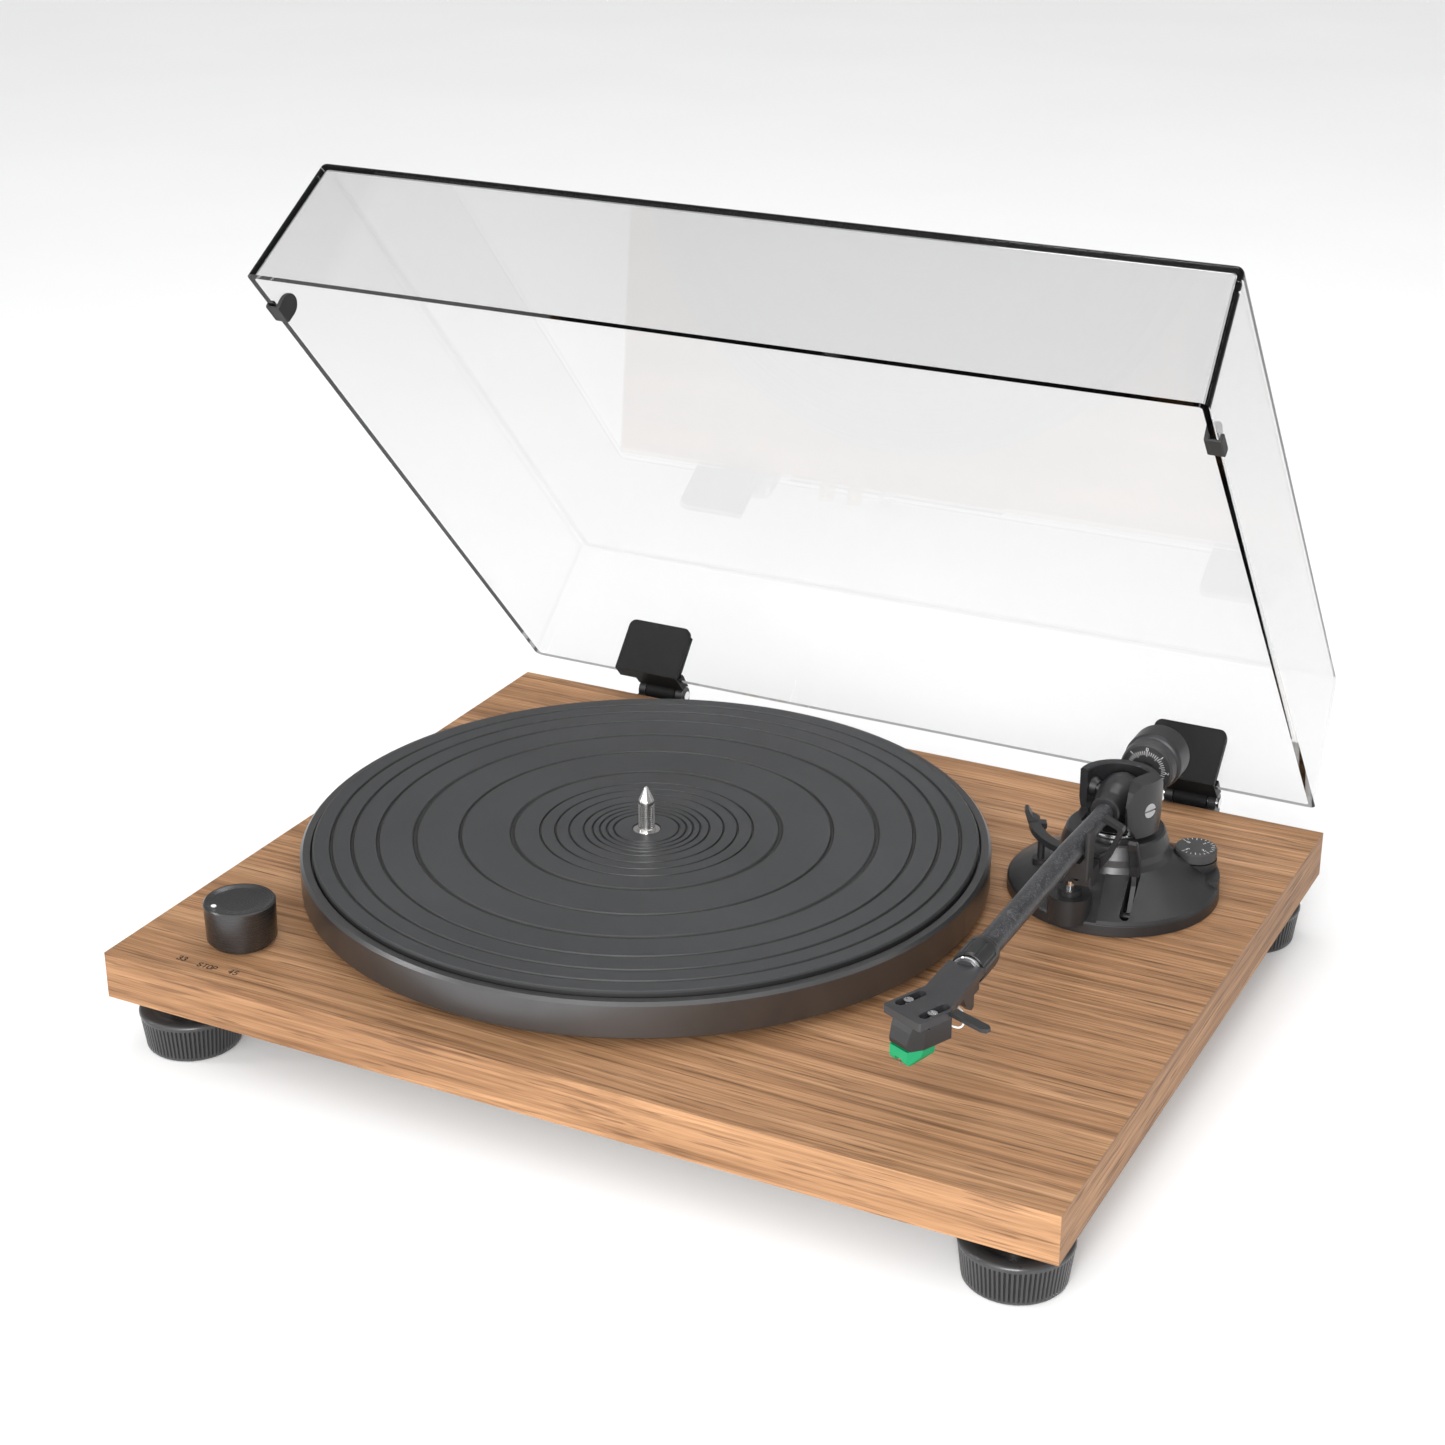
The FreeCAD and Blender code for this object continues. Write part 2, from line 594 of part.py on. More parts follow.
part("tonearm_base", cut(
    base_body, slot_cut,
    cylinder(ax, ay, top - 1.0, 7.0, 40.0),
    cylinder(lift_x, lift_y, top - 1.0, 1.6 + fit, 40.0),
    cylinder(skate_x, skate_y, top + 8.0, 2.0 + fit, 40.0),
    cylinder(skate_x, skate_y, top + 13.4, 9.5, 20.0),
    cylinder(rest_x, rest_y, top + 8.0, 2.1, 40.0),
    *screw_holes,
))
for angle in SCREW_ANGLES:
    a = math.radians(angle)
    x, y = bx + 24.0 * math.cos(a), by + 24.0 * math.sin(a)
    screws.append(fuse(cylinder(x, y, under + 11.6, 3.6, 2.6), cylinder(x, y, under + 13.0, 2.0, 14.2)))
part("plinth_screws", group(*screws))

# pivot pillar with a running bore for the yoke's shaft, and the ring round it
part("pivot_pillar", turned([
    (4.0 + fit, top + 4.0), (6.9, top + 4.0), (6.9, top + 30.55), (12.0, top + 30.55), (12.0, top + 31.2),
    (11.6, top + 31.6), (4.0 + fit, top + 31.6)], ax, ay, 0.0))
part("pillar_ring", turned([
    (12.6, top + 30.53), (14.4, top + 30.53), (14.7, top + 30.9), (14.7, top + 31.6), (14.2, top + 32.1),
    (13.4, top + 32.1), (12.6, top + 31.6)], ax, ay, 0.0))

# ------------------------------------------------------------------ yoke: an open frame round the arm's housing
low = az - 12.0
floor_top = az - 9.9
bowl = turned([
    (0.0, low), (11.8, low), (13.6, low + 0.6), (15.6, low + 2.0), (17.0, low + 4.4), (17.8, low + 8.0),
    (17.9, az + 8.8), (17.2, az + 9.8), (14.4, az + 9.8), (13.9, az + 9.2), (13.9, low + 6.0), (12.8, low + 3.6),
    (10.8, floor_top), (0.0, floor_top)], ax, ay, 0.0)
left_part = box(ax - 30.0, ax - 3.0, ay - 6.2, ay + 30.0, low, az + 20.0)
over_stub = box(ax - 4.0, ax + 16.0, ay + 4.0, ay + 30.0, az + 3.2, az + 20.0)
base_part = cylinder(ax, ay, low - 1.0, 18.4, 4.4)
left_arm = common(bowl, fuse(left_part, over_stub, base_part))
left_nub = cone(ax - 14.4, ay, az, 4.6, 3.0, 3.4, "x")
cheek_block = extruded("YZ_Plane", [
    (ay - 6.6, low + 0.4), (ay + 7.6, low + 0.4), (ay + 10.6, az - 5.0), (ay + 11.6, az + 3.0), (ay + 10.6, az + 9.0),
    (ay + 7.4, az + 13.0), (ay - 5.2, az + 13.0), (ay - 8.8, az + 9.6), (ay - 11.0, az + 3.0), (ay - 10.4, az - 5.0)],
    ax + 10.2, 10.0)
cheek = common(cheek_block, cylinder(ax, ay, low - 1.0, 18.7, 60.0))
yoke_shaft = cylinder(ax, ay, top + 8.0, 4.0, 26.0)
yoke_bore = cylinder(ax - 30.0, ay, az, 2.0, 60.0, "x")
screw_seat = cylinder(ax + 17.2, ay, az, 3.5, 6.0, "x")
stub_way = box(ax - 13.6, ax + 9.0, ay + 7.6, ay + 30.0, floor_top, az + 3.2)
yoke = seated(cut(fuse(left_arm, left_nub, cheek, yoke_shaft), yoke_bore, screw_seat, stub_way))
tip_room = box(ax - 12.0, ax + 8.6, ay - 30.0, ay - 3.6, floor_top, az + 16.0)
part("arm_yoke", cut(yoke, tip_room))

right_screw = cut(fuse(cylinder(ax + 9.4, ay, az, 1.95, 8.6, "x"), cylinder(ax + 17.25, ay, az, 3.3, 1.2, "x")),
                  box(ax + 17.9, ax + 19.0, ay - 4.0, ay + 4.0, az - 0.4, az + 0.4))
left_screw = cylinder(ax - 17.6, ay, az, 1.95, 8.2, "x")
part("pivot_screws", seated(right_screw, left_screw))

# ------------------------------------------------------------------ tipping arm: housing, tube and rear stub
housing_body = turned([
    (0.0, 17.6), (5.8, 17.6), (6.4, 17.0), (6.9, 11.0), (8.4, 5.0), (9.2, -1.0), (9.0, -5.4), (7.8, -8.8),
    (5.4, -10.4), (0.0, -10.4)], ax, ay, az, "-y")
stub_z = az - dim("weight_drop")
stub_boss = cylinder(ax, ay + 1.0, stub_z, 5.2, 10.6, "y")
stub_seat = cylinder(ax, ay + 2.6, stub_z, 3.52, 20.0, "y")
tube_seat = cylinder(ax, ay - 20.0, az, 4.02, 12.0, "y")
sockets = seated(cylinder(ax + 8.2, ay, az, 2.3, 4.0, "x"), cylinder(ax - 12.2, ay, az, 2.3, 4.0, "x"))
part("arm_housing", cut(fuse(housing_body, stub_boss), tube_seat, stub_seat, sockets))

tr = dim("tube_radius")
part("arm_tube", turned([
    (3.1, 8.2), (4.0, 8.2), (4.0, 28.0), (tr, 62.0), (tr, 157.0), (4.0, 157.0), (4.0, 62.0), (3.1, 28.0)],
    ax, ay, az, "-y"))
part("rear_stub", cylinder(ax, ay + 2.8, stub_z, 3.5, 58.8, "y"))

# counterweight and force dial share the stub's axis
wr = dim("weight_radius")
part("counterweight", turned([
    (3.5 + fit, 43.6), (wr - 1.8, 43.6), (wr - 1.8, 44.8), (wr - 0.8, 45.4), (wr - 0.1, 46.6), (wr, 47.6),
    (wr, 58.2), (wr - 0.4, 59.0), (wr - 1.2, 59.4), (3.5 + fit, 59.4)], ax, ay, stub_z, "y"))
part("force_dial", turned([
    (3.5 + fit, 37.2), (10.6, 37.2), (10.6, 37.0), (wr - 2.0, 37.0), (wr - 1.2, 38.2), (wr - 0.8, 42.4),
    (wr - 1.2, 43.2), (3.5 + fit, 43.2)], ax, ay, stub_z, "y"))

# ------------------------------------------------------------------ headshell end
collar_rear = ay - 153.0
collar = turned([
    (tr + fit, 0.0), (5.8, 0.0), (6.6, 1.4), (6.9, 4.0), (6.9, 16.2), (6.6, 17.3),
    (5.9, 17.3), (5.9, 8.2), (tr + fit, 8.2)], ax, collar_rear, az, "-y")
grips = []
for i in range(8):
    a = math.radians(22.5 + 45 * i)
    grips.append(cylinder(ax + 7.7 * math.cos(a), collar_rear - 18.0, az + 7.7 * math.sin(a), 1.15, 12.8, "y"))
part("locking_collar", cut(collar, *grips))
ring_y = collar_rear - 17.4
part("headshell_ring", turned([
    (4.85, 0.0), (5.4, 0.0), (5.7, 0.4), (5.7, 1.2), (5.4, 1.5), (4.85, 1.5)], ax, ring_y, az, "-y"))

# the front plate is turned inwards; e runs to its right and n to its front, from its middle
shell_y = ring_y - 1.55
ANGLE = math.radians(SIZES["offset_angle"])
ex, ey = math.cos(ANGLE), math.sin(ANGLE)
nx, ny = math.sin(ANGLE), -math.cos(ANGLE)
hx, hy = ax - 3.3, ay - 209.0
htop = az + 3.0


def plan(e, n):
    return (hx + e * ex + n * nx, hy + e * ey + n * ny)


plate = extruded("XY_Plane", [plan(-9.7, 8.5), plan(-8.9, 9.3), plan(9.2, 9.3), plan(10.0, 8.5), plan(10.0, -5.6),
                              plan(9.4, -7.0), plan(-9.7, -11.4)], htop - 3.2, 3.2)
neck = extruded("XY_Plane", [(ax - 7.1, shell_y), (ax - 7.3, ay - 194.8), plan(-9.7, -11.4), plan(-9.7, -6.0),
                             plan(9.4, -6.0), plan(9.4, -7.0), (ax + 7.4, ay - 200.3), (ax + 7.1, shell_y)],
                htop - 3.2, 3.2)
keel = extruded("YZ_Plane", [
    (shell_y, htop - 3.0), (shell_y, htop - 9.4), (shell_y - 6.0, htop - 9.4), (ay - 193.0, htop - 5.6),
    (ay - 195.0, htop - 3.0)], ax - 5.4, 10.8)
fang = extruded("YZ_Plane", [
    (shell_y - 9.0, htop - 3.0), (shell_y - 9.0, htop - 12.0), (shell_y - 11.2, htop - 12.4),
    (shell_y - 16.5, htop - 8.2), (shell_y - 20.0, htop - 3.0)], ax + 4.6, 2.4)
plug = fuse(cylinder(ax, shell_y - 1.0, az, 4.0, 9.0, "y"), cylinder(ax, shell_y - 1.0, az, 4.8, 2.6, "y"))
SLOT = 6.35
slots = []
for s in (-1, 1):
    for half, depth in ((1.35, 4.0), (1.95, 1.75)):
        slots.append(extruded("XY_Plane", [plan(SLOT * s - half, 3.6), plan(SLOT * s + half, 3.6),
                                           plan(SLOT * s + half, -6.8), plan(SLOT * s - half, -6.8)], htop - depth, 6.0))
        for n in (3.6, -6.8):
            x, y = plan(SLOT * s, n)
            slots.append(cylinder(x, y, htop - depth, half, 6.0))
part("headshell", cut(fuse(plate, neck, keel, fang, plug), *slots))

# finger lift: a flat bar held against the plate's right side
part("finger_lift", extruded("XY_Plane", [
    plan(10.05, -5.4), plan(25.6, -6.0), plan(27.4, -7.0), plan(27.4, -9.2), plan(25.6, -10.2), plan(9.7, -9.4)],
    htop - 1.7, 1.6))

shell_screws = []
for s in (-1, 1):
    x, y = plan(SLOT * s, -0.6)
    screw = fuse(cylinder(x, y, htop - 1.7, 1.85, 1.5), cylinder(x, y, htop - 5.0, 1.2, 3.8))
    drive = extruded("XY_Plane", [plan(SLOT * s - 2, -0.35), plan(SLOT * s + 2, -0.35), plan(SLOT * s + 2, -0.85),
                                  plan(SLOT * s - 2, -0.85)], htop - 0.7, 2.0)
    shell_screws.append(cut(screw, drive))
part("headshell_screws", group(*shell_screws))

# cartridge: a block under the plate whose nose slopes down to the stylus assembly
ctop = htop - 3.22
turn_plan = Rotation(Vector(0, 0, 1), SIZES["offset_angle"])
block = extruded("YZ_Plane", [
    (9.8, 0.0), (9.8, -10.6), (-8.6, -10.6), (-10.0, -9.6), (-10.4, -7.8), (-9.0, -3.2), (-7.6, 0.0)],
    -7.1, 14.2, hx, hy, ctop, turn_plan)
nose_trim = extruded("XY_Plane", [(-7.1, 12.0), (7.1, 12.0), (7.1, -3.6), (4.3, -11.0), (-4.3, -11.0), (-7.1, -3.6)],
                     -12.0, 16.0, hx, hy, ctop, turn_plan)
screw_clear = []
for s in (-1, 1):
    x, y = plan(SLOT * s, -0.6)
    screw_clear.append(cylinder(x, y, htop - 5.1, 1.25, 12.0))
ears = extruded("XY_Plane", [(-8.6, -2.6), (8.6, -2.6), (8.6, 3.8), (-8.6, 3.8)], -2.2, 2.2, hx, hy, ctop, turn_plan)
part("cartridge_body", cut(fuse(common(block, nose_trim), ears), *screw_clear))
green = extruded("YZ_Plane", [
    (2.0, -10.65), (2.0, -14.0), (-3.0, -16.0), (-6.6, -16.9), (-9.0, -16.6), (-10.0, -15.0), (-9.9, -10.65)],
    -6.9, 13.8, hx, hy, ctop, turn_plan)
green_trim = extruded("XZ_Plane", [
    (-6.9, -10.0), (6.9, -10.0), (6.5, -13.6), (4.2, -17.4), (-4.2, -17.4), (-6.5, -13.6)],
    -12.0, 30.0, hx, hy, ctop, turn_plan)
green_nose = extruded("XY_Plane", [(-6.9, 12.0), (6.9, 12.0), (6.9, -3.7), (4.2, -11.0), (-4.2, -11.0), (-6.9, -3.7)],
                      -20.0, 16.0, hx, hy, ctop, turn_plan)
notch = extruded("XZ_Plane", [(-2.2, -18.0), (-1.6, -14.4), (1.6, -14.4), (2.2, -18.0)], 2.0, 14.0, hx, hy, ctop,
                 turn_plan)
part("stylus_assembly", cut(common(common(green, green_trim), green_nose), notch))
needle = extruded("YZ_Plane", [(-2.8, -14.45), (-2.8, -14.85), (-8.4, -16.9), (-8.6, -17.8), (-9.0, -17.8),
                               (-9.1, -16.5)], -0.35, 0.7, hx, hy, ctop, turn_plan)
part("cantilever", needle)


def wire(points, radius):
    """A thin bent wire through a few points, its bends rounded."""
    edges = []
    last = points[0]
    for i in range(1, len(points) - 1):
        a, b, c = points[i - 1], points[i], points[i + 1]
        cut_back = 0.4 * min((b - a).Length, (c - b).Length)
        p1 = b + (a - b).normalize() * cut_back
        p3 = b + (c - b).normalize() * cut_back
        turn = math.pi - (a - b).getAngle(c - b)
        bend = cut_back / math.tan(turn / 2)
        middle_dir = ((a - b).normalize() + (c - b).normalize()).normalize()
        middle = b + middle_dir * (math.hypot(bend, cut_back) - bend)
        edges.append(Part.makeLine(last, p1))
        edges.append(Part.Arc(p1, middle, p3).toShape())
        last = p3
    edges.append(Part.makeLine(last, points[-1]))
    path = Part.Wire(edges)
    start = Part.Wire([Part.makeCircle(radius, points[0], points[1] - points[0])])
    return path.makePipeShell([start], True, True)


lead_shapes = []
for k, (e_off, z_off, bulge) in enumerate(((-3.6, -2.4, -1.6), (-1.2, -6.4, 0.6), (1.6, -2.4, 3.2), (3.8, -6.4, 5.4))):
    e0, n0 = plan(e_off, -10.2)
    px0, py0 = number(e0), number(n0)
    zc = number(ctop)
    lx = number(ax) - 3.0 + 2.0 * k
    ly = number(ay) - 190.0
    p = [
        Vector(px0, py0, zc + z_off),
        Vector(px0 + bulge, py0 + 2.6, zc + z_off - 2.0),
        Vector(lx + bulge, ly - 3.2, zc - 5.4),
        Vector(lx, ly, zc - 3.4),
    ]
    lead_shapes.append(wire(p, 0.36))
leads = doc.addObject("Part::Feature", "leads")
leads.Shape = Part.makeCompound(lead_shapes)
part("lead_wires", leads)

# ------------------------------------------------------------------ arm rest, clip, lift platform and levers
part("rest_post", cylinder(rest_x, rest_y, top + 8.1, 2.08, 16.4))
foot_block = box(rest_x - 4.2, ax + 5.4, ay - 43.8, ay - 36.8, top + 22.0, top + 31.4)
riser = box(ax - 1.0, ax + 7.2, ay - 52.6, ay - 42.0, top + 26.0, top + 33.0)
cradle = extruded("XZ_Plane", [
    (ax - 6.4, top + 31.0), (ax + 7.2, top + 31.0), (ax + 7.2, top + 52.4), (ax + 6.6, top + 53.0),
    (ax + 5.7, top + 53.0), (ax + 5.2, top + 52.4), (ax + 5.2, top + 40.0), (ax + 3.6, top + 38.2),
    (ax - 5.4, top + 38.2), (ax - 6.4, top + 37.2)], -(ay - 49.6), 7.6)
clip_px, clip_py, clip_pz = ax + 1.0, ay - 33.8, top + 29.0
clip_hole = cylinder(clip_px, ay - 60.0, clip_pz, 1.25 + fit, 40.0, "y")
rest_bore = cylinder(rest_x, rest_y, top + 15.0, 2.1, 9.5)
block_screw = cylinder(ax - 3.4, ay - 44.4, top + 26.6, 1.9, 1.6, "y")
rest_body = rounded(fuse(foot_block, riser, cradle), 0.7, is_upright)
part("arm_rest", cut(rest_body, rest_bore, clip_hole, block_screw))

# rest clip: a hook on a pin behind the rest, standing open to the right
CLIP_OPEN = 22.0
hook_profile = [
    (-2.8, -2.6), (2.6, -2.8), (5.6, 0.6), (6.4, 6.0), (6.3, 20.4), (5.2, 21.7), (-3.4, 21.9), (-3.9, 21.2),
    (-3.9, 19.6), (-2.8, 19.9), (3.6, 19.9), (4.3, 19.0), (4.3, 7.0), (2.0, 3.4), (-2.8, 2.8)]
hook = extruded("XZ_Plane", hook_profile, -1.8, 4.0)
clip = fuse(hook, cylinder(0.0, -12.0, 0.0, 1.25, 12.0, "y"))
clip.Placement = Placement(Vector(clip_px.value, clip_py.value, clip_pz.value), Rotation(Vector(0, 1, 0), CLIP_OPEN))
part("rest_clip", clip)

# lift platform: an arc round the pivot on a rod that slides in the base
lift_top = top + 32.0
R_LIFT = 35.0
arc_outer = cylinder(ax, ay, lift_top - 2.8, R_LIFT + 2.4, 2.8)
arc_inner = cylinder(ax, ay, lift_top - 3.8, R_LIFT - 2.4, 6.0)
keep_arc = extruded("XY_Plane", [(ax, ay), (ax - 46.0, ay - 17.6), (ax - 46.0, ay - 46.0), (ax - 13.6, ay - 46.0)],
                    lift_top - 6.0, 20.0)
crescent = common(cut(arc_outer, arc_inner), keep_arc)
TIP = 201.6
tip_block = extruded("XZ_Plane", [
    (R_LIFT - 2.4, -2.8), (R_LIFT + 2.0, -2.8), (R_LIFT + 3.2, 0.2), (R_LIFT + 4.4, 4.2), (R_LIFT + 4.0, 5.2),
    (R_LIFT + 2.8, 5.2), (R_LIFT + 1.0, 2.0), (R_LIFT - 2.4, 0.0)],
    -2.6, 5.2, ax, ay, lift_top, Rotation(Vector(0, 0, 1), TIP))
arm_lug = extruded("XZ_Plane", [
    (29.8, -2.8), (R_LIFT, -2.8), (R_LIFT, 0.0), (29.8, -0.6)],
    -2.2, 4.4, ax, ay, lift_top, Rotation(Vector(0, 0, 1), 204.8))
lift_rod = cylinder(lift_x, lift_y, top + 1.2, 1.6, 29.4)
part("lift_platform", fuse(crescent, tip_block, arm_lug, lift_rod))

# cue lever: an axle under the base, a thin stem through the slot and a paddle leaning forward
lever_axle = cylinder(lever_x - 3.6, lever_y, lever_z, 1.8, 7.2, "x")
stem = extruded("YZ_Plane", [
    (lever_y - 1.4, lever_z - 0.6), (lever_y + 1.4, lever_z - 0.6), (lever_y + 8.4, lever_z + 11.0),
    (lever_y + 8.6, lever_z + 17.0), (lever_y + 6.8, lever_z + 17.0), (lever_y + 6.4, lever_z + 11.4)],
    lever_x - 1.0, 2.0)
paddle = extruded("YZ_Plane", [
    (lever_y + 6.6, lever_z + 15.6), (lever_y + 8.6, lever_z + 15.6), (lever_y + 8.8, lever_z + 19.0),
    (lever_y + 8.6, lever_z + 24.0), (lever_y + 5.2, lever_z + 29.0), (lever_y + 1.6, lever_z + 33.6),
    (lever_y - 0.8, lever_z + 36.0), (lever_y - 2.6, lever_z + 36.6), (lever_y - 3.6, lever_z + 35.4),
    (lever_y - 2.6, lever_z + 32.6), (lever_y + 1.0, lever_z + 28.0), (lever_y + 5.2, lever_z + 21.0)],
    lever_x - 2.2, 4.4)
paddle_soft = rounded(paddle, 0.8, lambda e: abs(e.tangentAt(e.FirstParameter).x) < 0.1)
cue = fuse(lever_axle, stem, paddle_soft)
cue.Placement = LEVER_SEAT
part("cue_lever", cue)

# anti-skate dial
skate_z = top + 13.7
dial = turned([(0.0, top + 9.0), (2.0, top + 9.0), (2.0, skate_z), (8.8, skate_z), (9.1, skate_z + 0.4),
               (9.1, skate_z + 4.2), (8.5, skate_z + 4.8), (0.0, skate_z + 4.8)], skate_x, skate_y, 0.0)
part("antiskate_dial", dial)

# ------------------------------------------------------------------ dust cover, built closed, then opened
hinge = Vector(0, SIZES["hinge_y"], SIZES["hinge_z"])
OPEN = Placement(Vector(0, 0, 0), Rotation(Vector(1, 0, 0), -SIZES["lid_open"]), hinge)
lid_back, lid_low = dim("lid_back_y"), dim("lid_low")
lid_front = lid_back - dim("lid_depth")
lw = dim("lid_width") * 0.5


def tray(inset, z_start, z_end, roof):
    """A drafted block with its narrow side up: a wedge turned so that its own Y points up."""
    obj = doc.addObject("Part::Wedge", fresh("drafted"))
    bind(obj, "Xmin", -lw + inset)
    bind(obj, "Xmax", lw - inset)
    bind(obj, "X2min", -lw + dim("lid_side_draft") + roof)
    bind(obj, "X2max", lw - dim("lid_side_draft") - roof)
    bind(obj, "Zmin", -lid_back + inset)
    bind(obj, "Zmax", -lid_front - inset)
    bind(obj, "Z2min", -lid_back + dim("lid_back_draft") + roof)
    bind(obj, "Z2max", -lid_front - dim("lid_front_draft") - roof)
    bind(obj, "Ymin", z_start)
    bind(obj, "Ymax", z_end)
    obj.Placement = Placement(Vector(0, 0, 0), Rotation(Vector(1, 0, 0), 90))
    return obj


outer = tray(0.0, lid_low, lid_low + dim("lid_height"), 0.0)
inner = tray(dim("lid_wall"), lid_low - 0.0, lid_low + dim("lid_height") - dim("lid_wall"), dim("lid_wall"))
outer_soft = rounded(outer, 3.4, lambda e: not at_height(lid_low)(e))
inner_soft = rounded(inner, 1.4, lambda e: not at_height(lid_low)(e))
cover = cut(outer_soft, inner_soft)
cover.Placement = OPEN
part("dust_cover", cover)

# two rubber bumpers clipped on the side rims near the front
bumpers = []
for s in (-1, 1):
    y0 = lid_front + 22.0
    inside = (lw - dim("lid_wall")) * s
    edge = lw * s
    tab = box(min(inside.value, (inside - 2.2 * s).value), max(inside.value, (inside - 2.2 * s).value), y0, y0 + 11.0,
              lid_low - 1.2, lid_low + 9.0)
    pad = box(min((inside - 2.2 * s).value, edge.value), max((inside - 2.2 * s).value, edge.value), y0, y0 + 11.0,
              lid_low - 1.2, lid_low - 0.02)
    bumper = fuse(tab, pad)
    slack = extruded("XZ_Plane", [
        ((inside - 0.02 * s), lid_low - 0.02), ((inside - 0.02 * s) - 0.9 * s, lid_low + 10.0),
        ((inside + 4.0 * s), lid_low + 10.0), ((inside + 4.0 * s), lid_low - 0.02)], -(lid_front + 40.0), 30.0)
    bumper_cut = cut(bumper, slack)
    bumper_cut.Placement = OPEN
    bumpers.append(bumper_cut)
part("lid_bumpers", group(*bumpers))

# hinges: the lid half clasps the back wall, the plinth half holds the pin
LEAN = math.atan2(SIZES["lid_back_draft"], SIZES["lid_height"])
wall = SIZES["lid_wall"]
lid_back_v, lid_low_v = SIZES["lid_back_y"], SIZES["lid_low"]
hy0, hz0 = SIZES["hinge_y"], SIZES["hinge_z"]


def wall_point(depth, height):
    """A point of the lid's back wall: depth in from its outer face, height up along it from the rim."""
    return (lid_back_v - depth * math.cos(LEAN) - height * math.sin(LEAN),
            lid_low_v - depth * math.sin(LEAN) + height * math.cos(LEAN))


hpin = dim("hinge_pin")
pins, springs = [], []
for s, side in ((-1, "left"), (1, "right")):
    x_plate = -156.2 if s < 0 else 123.6
    x_neck = -147.0 if s < 0 else 132.8
    neck_w = 25.4
    plate_in = extruded("YZ_Plane", [wall_point(3.2, 0.2), wall_point(3.3, 26.6), wall_point(5.6, 26.8),
                                     (lid_back_v - 5.7, 47.1), (lid_back_v - 3.2, 47.1)], x_plate, 34.6)
    plate_out = extruded("YZ_Plane", [(lid_back_v + 0.3, 47.1), wall_point(-0.1, 24.0), wall_point(-2.2, 24.0),
                                      (lid_back_v + 2.6, 47.1)], x_plate + 1.0, 32.6)
    bridge = box(x_plate, x_plate + 34.6, lid_back_v - 5.7, lid_back_v + 2.6, 47.1, 48.1)
    arm = extruded("YZ_Plane", [
        (lid_back_v - 5.6, 48.1), (lid_back_v - 5.6, 47.1), (hy0 - 2.0, 47.1), (hy0, hz0 + 4.6),
        (lid_back_v + 3.2, lid_low_v + 4.6), (lid_back_v + 1.2, lid_low_v + 4.6), (lid_back_v + 1.2, 48.1)],
        x_neck, neck_w)
    barrel = cylinder(x_neck + 4.8, hy0, hz0, 4.8, neck_w - 9.6, "x")
    ear_room = [cylinder(x_neck - 1.0, hy0, hz0, 5.0, 5.6, "x"),
                cylinder(x_neck + neck_w - 4.6, hy0, hz0, 5.0, 5.6, "x")]
    soft = rounded(fuse(plate_in, bridge), 3.6,
                   lambda e: abs(e.tangentAt(e.FirstParameter).x) < 0.1 and e.Length < 4.0
                   and min(v.Z for v in e.Vertexes) > lid_low_v + 20.0)
    pin_bore = cylinder(x_neck - 1.0, hy0, hz0, hpin + fit, neck_w + 2.0, "x")
    clasp = cut(fuse(cut(fuse(soft, plate_out, arm), *ear_room), barrel), pin_bore)
    clasp.Placement = OPEN
    part("hinge_plate_%s" % side, clasp)
    mount = box(x_neck - 1.0, x_neck + neck_w + 1.0, number(back) + 0.02, number(back) + 2.2, hz0 - 19.6, hz0 - 1.0)
    ears = []
    for x_ear in (x_neck + 0.4, x_neck + neck_w - 4.2):
        ear = fuse(cylinder(x_ear, hy0, hz0, 4.6, 3.8, "x"),
                   extruded("YZ_Plane", [(number(back) + 0.1, hz0 - 18.0), (number(back) + 0.1, hz0 - 2.0),
                                         (hy0 - 2.0, hz0 - 1.0), (hy0 + 4.6, hz0 - 0.4), (hy0 + 3.6, hz0 - 9.0),
                                         (number(back) + 4.0, hz0 - 18.0)], x_ear, 3.8))
        ears.append(ear)
    ear_bore = cylinder(x_neck - 2.0, hy0, hz0, hpin + 0.01, neck_w + 4.0, "x")
    part("hinge_base_%s" % side, cut(fuse(mount, *ears), ear_bore))
    pins.append(cylinder(x_neck - 0.6, hy0, hz0, hpin, neck_w + 1.2, "x"))
    coil = fuse(*[torus(x_neck + 7.2 + 1.9 * i, hy0 - 0.6, hz0 - 12.4, 2.4, 0.8, "x") for i in range(6)],
                cylinder(x_neck + 6.0, hy0 - 0.6, hz0 - 12.4, 1.7, 12.0, "x"),
                box(x_neck + 6.2, x_neck + 7.6, number(back) + 2.3, hy0 - 0.6, hz0 - 13.4, hz0 - 11.6),
                box(x_neck + 16.4, x_neck + 17.8, number(back) + 2.3, hy0 - 0.6, hz0 - 13.4, hz0 - 11.6))
    springs.append(coil)
part("hinge_pins", group(*pins))
part("hinge_springs", group(*springs))

# ------------------------------------------------------------------ check and write
doc.recompute()
bad = [o.Name for o in doc.Objects if "Invalid" in o.State or "Error" in o.State]
assert not bad, "failed objects: %s" % bad
os.makedirs("parts", exist_ok=True)
whole = FreeCAD.BoundBox()
for label, obj in PARTS.items():
    shape = obj.Shape
    assert not shape.isNull() and shape.isValid() and len(shape.Solids) >= 1, "bad shape: " + label
    assert shape.Volume > 0, "no volume: " + label
    shape.exportStep("parts/%s.step" % label)
    whole.add(shape.BoundBox)
    print("%-18s solids %d volume %10.1f" % (label, len(shape.Solids), shape.Volume))
print(len(PARTS), "parts", whole)
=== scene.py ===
import math

import bmesh
import bpy
from mathutils import Matrix, Vector


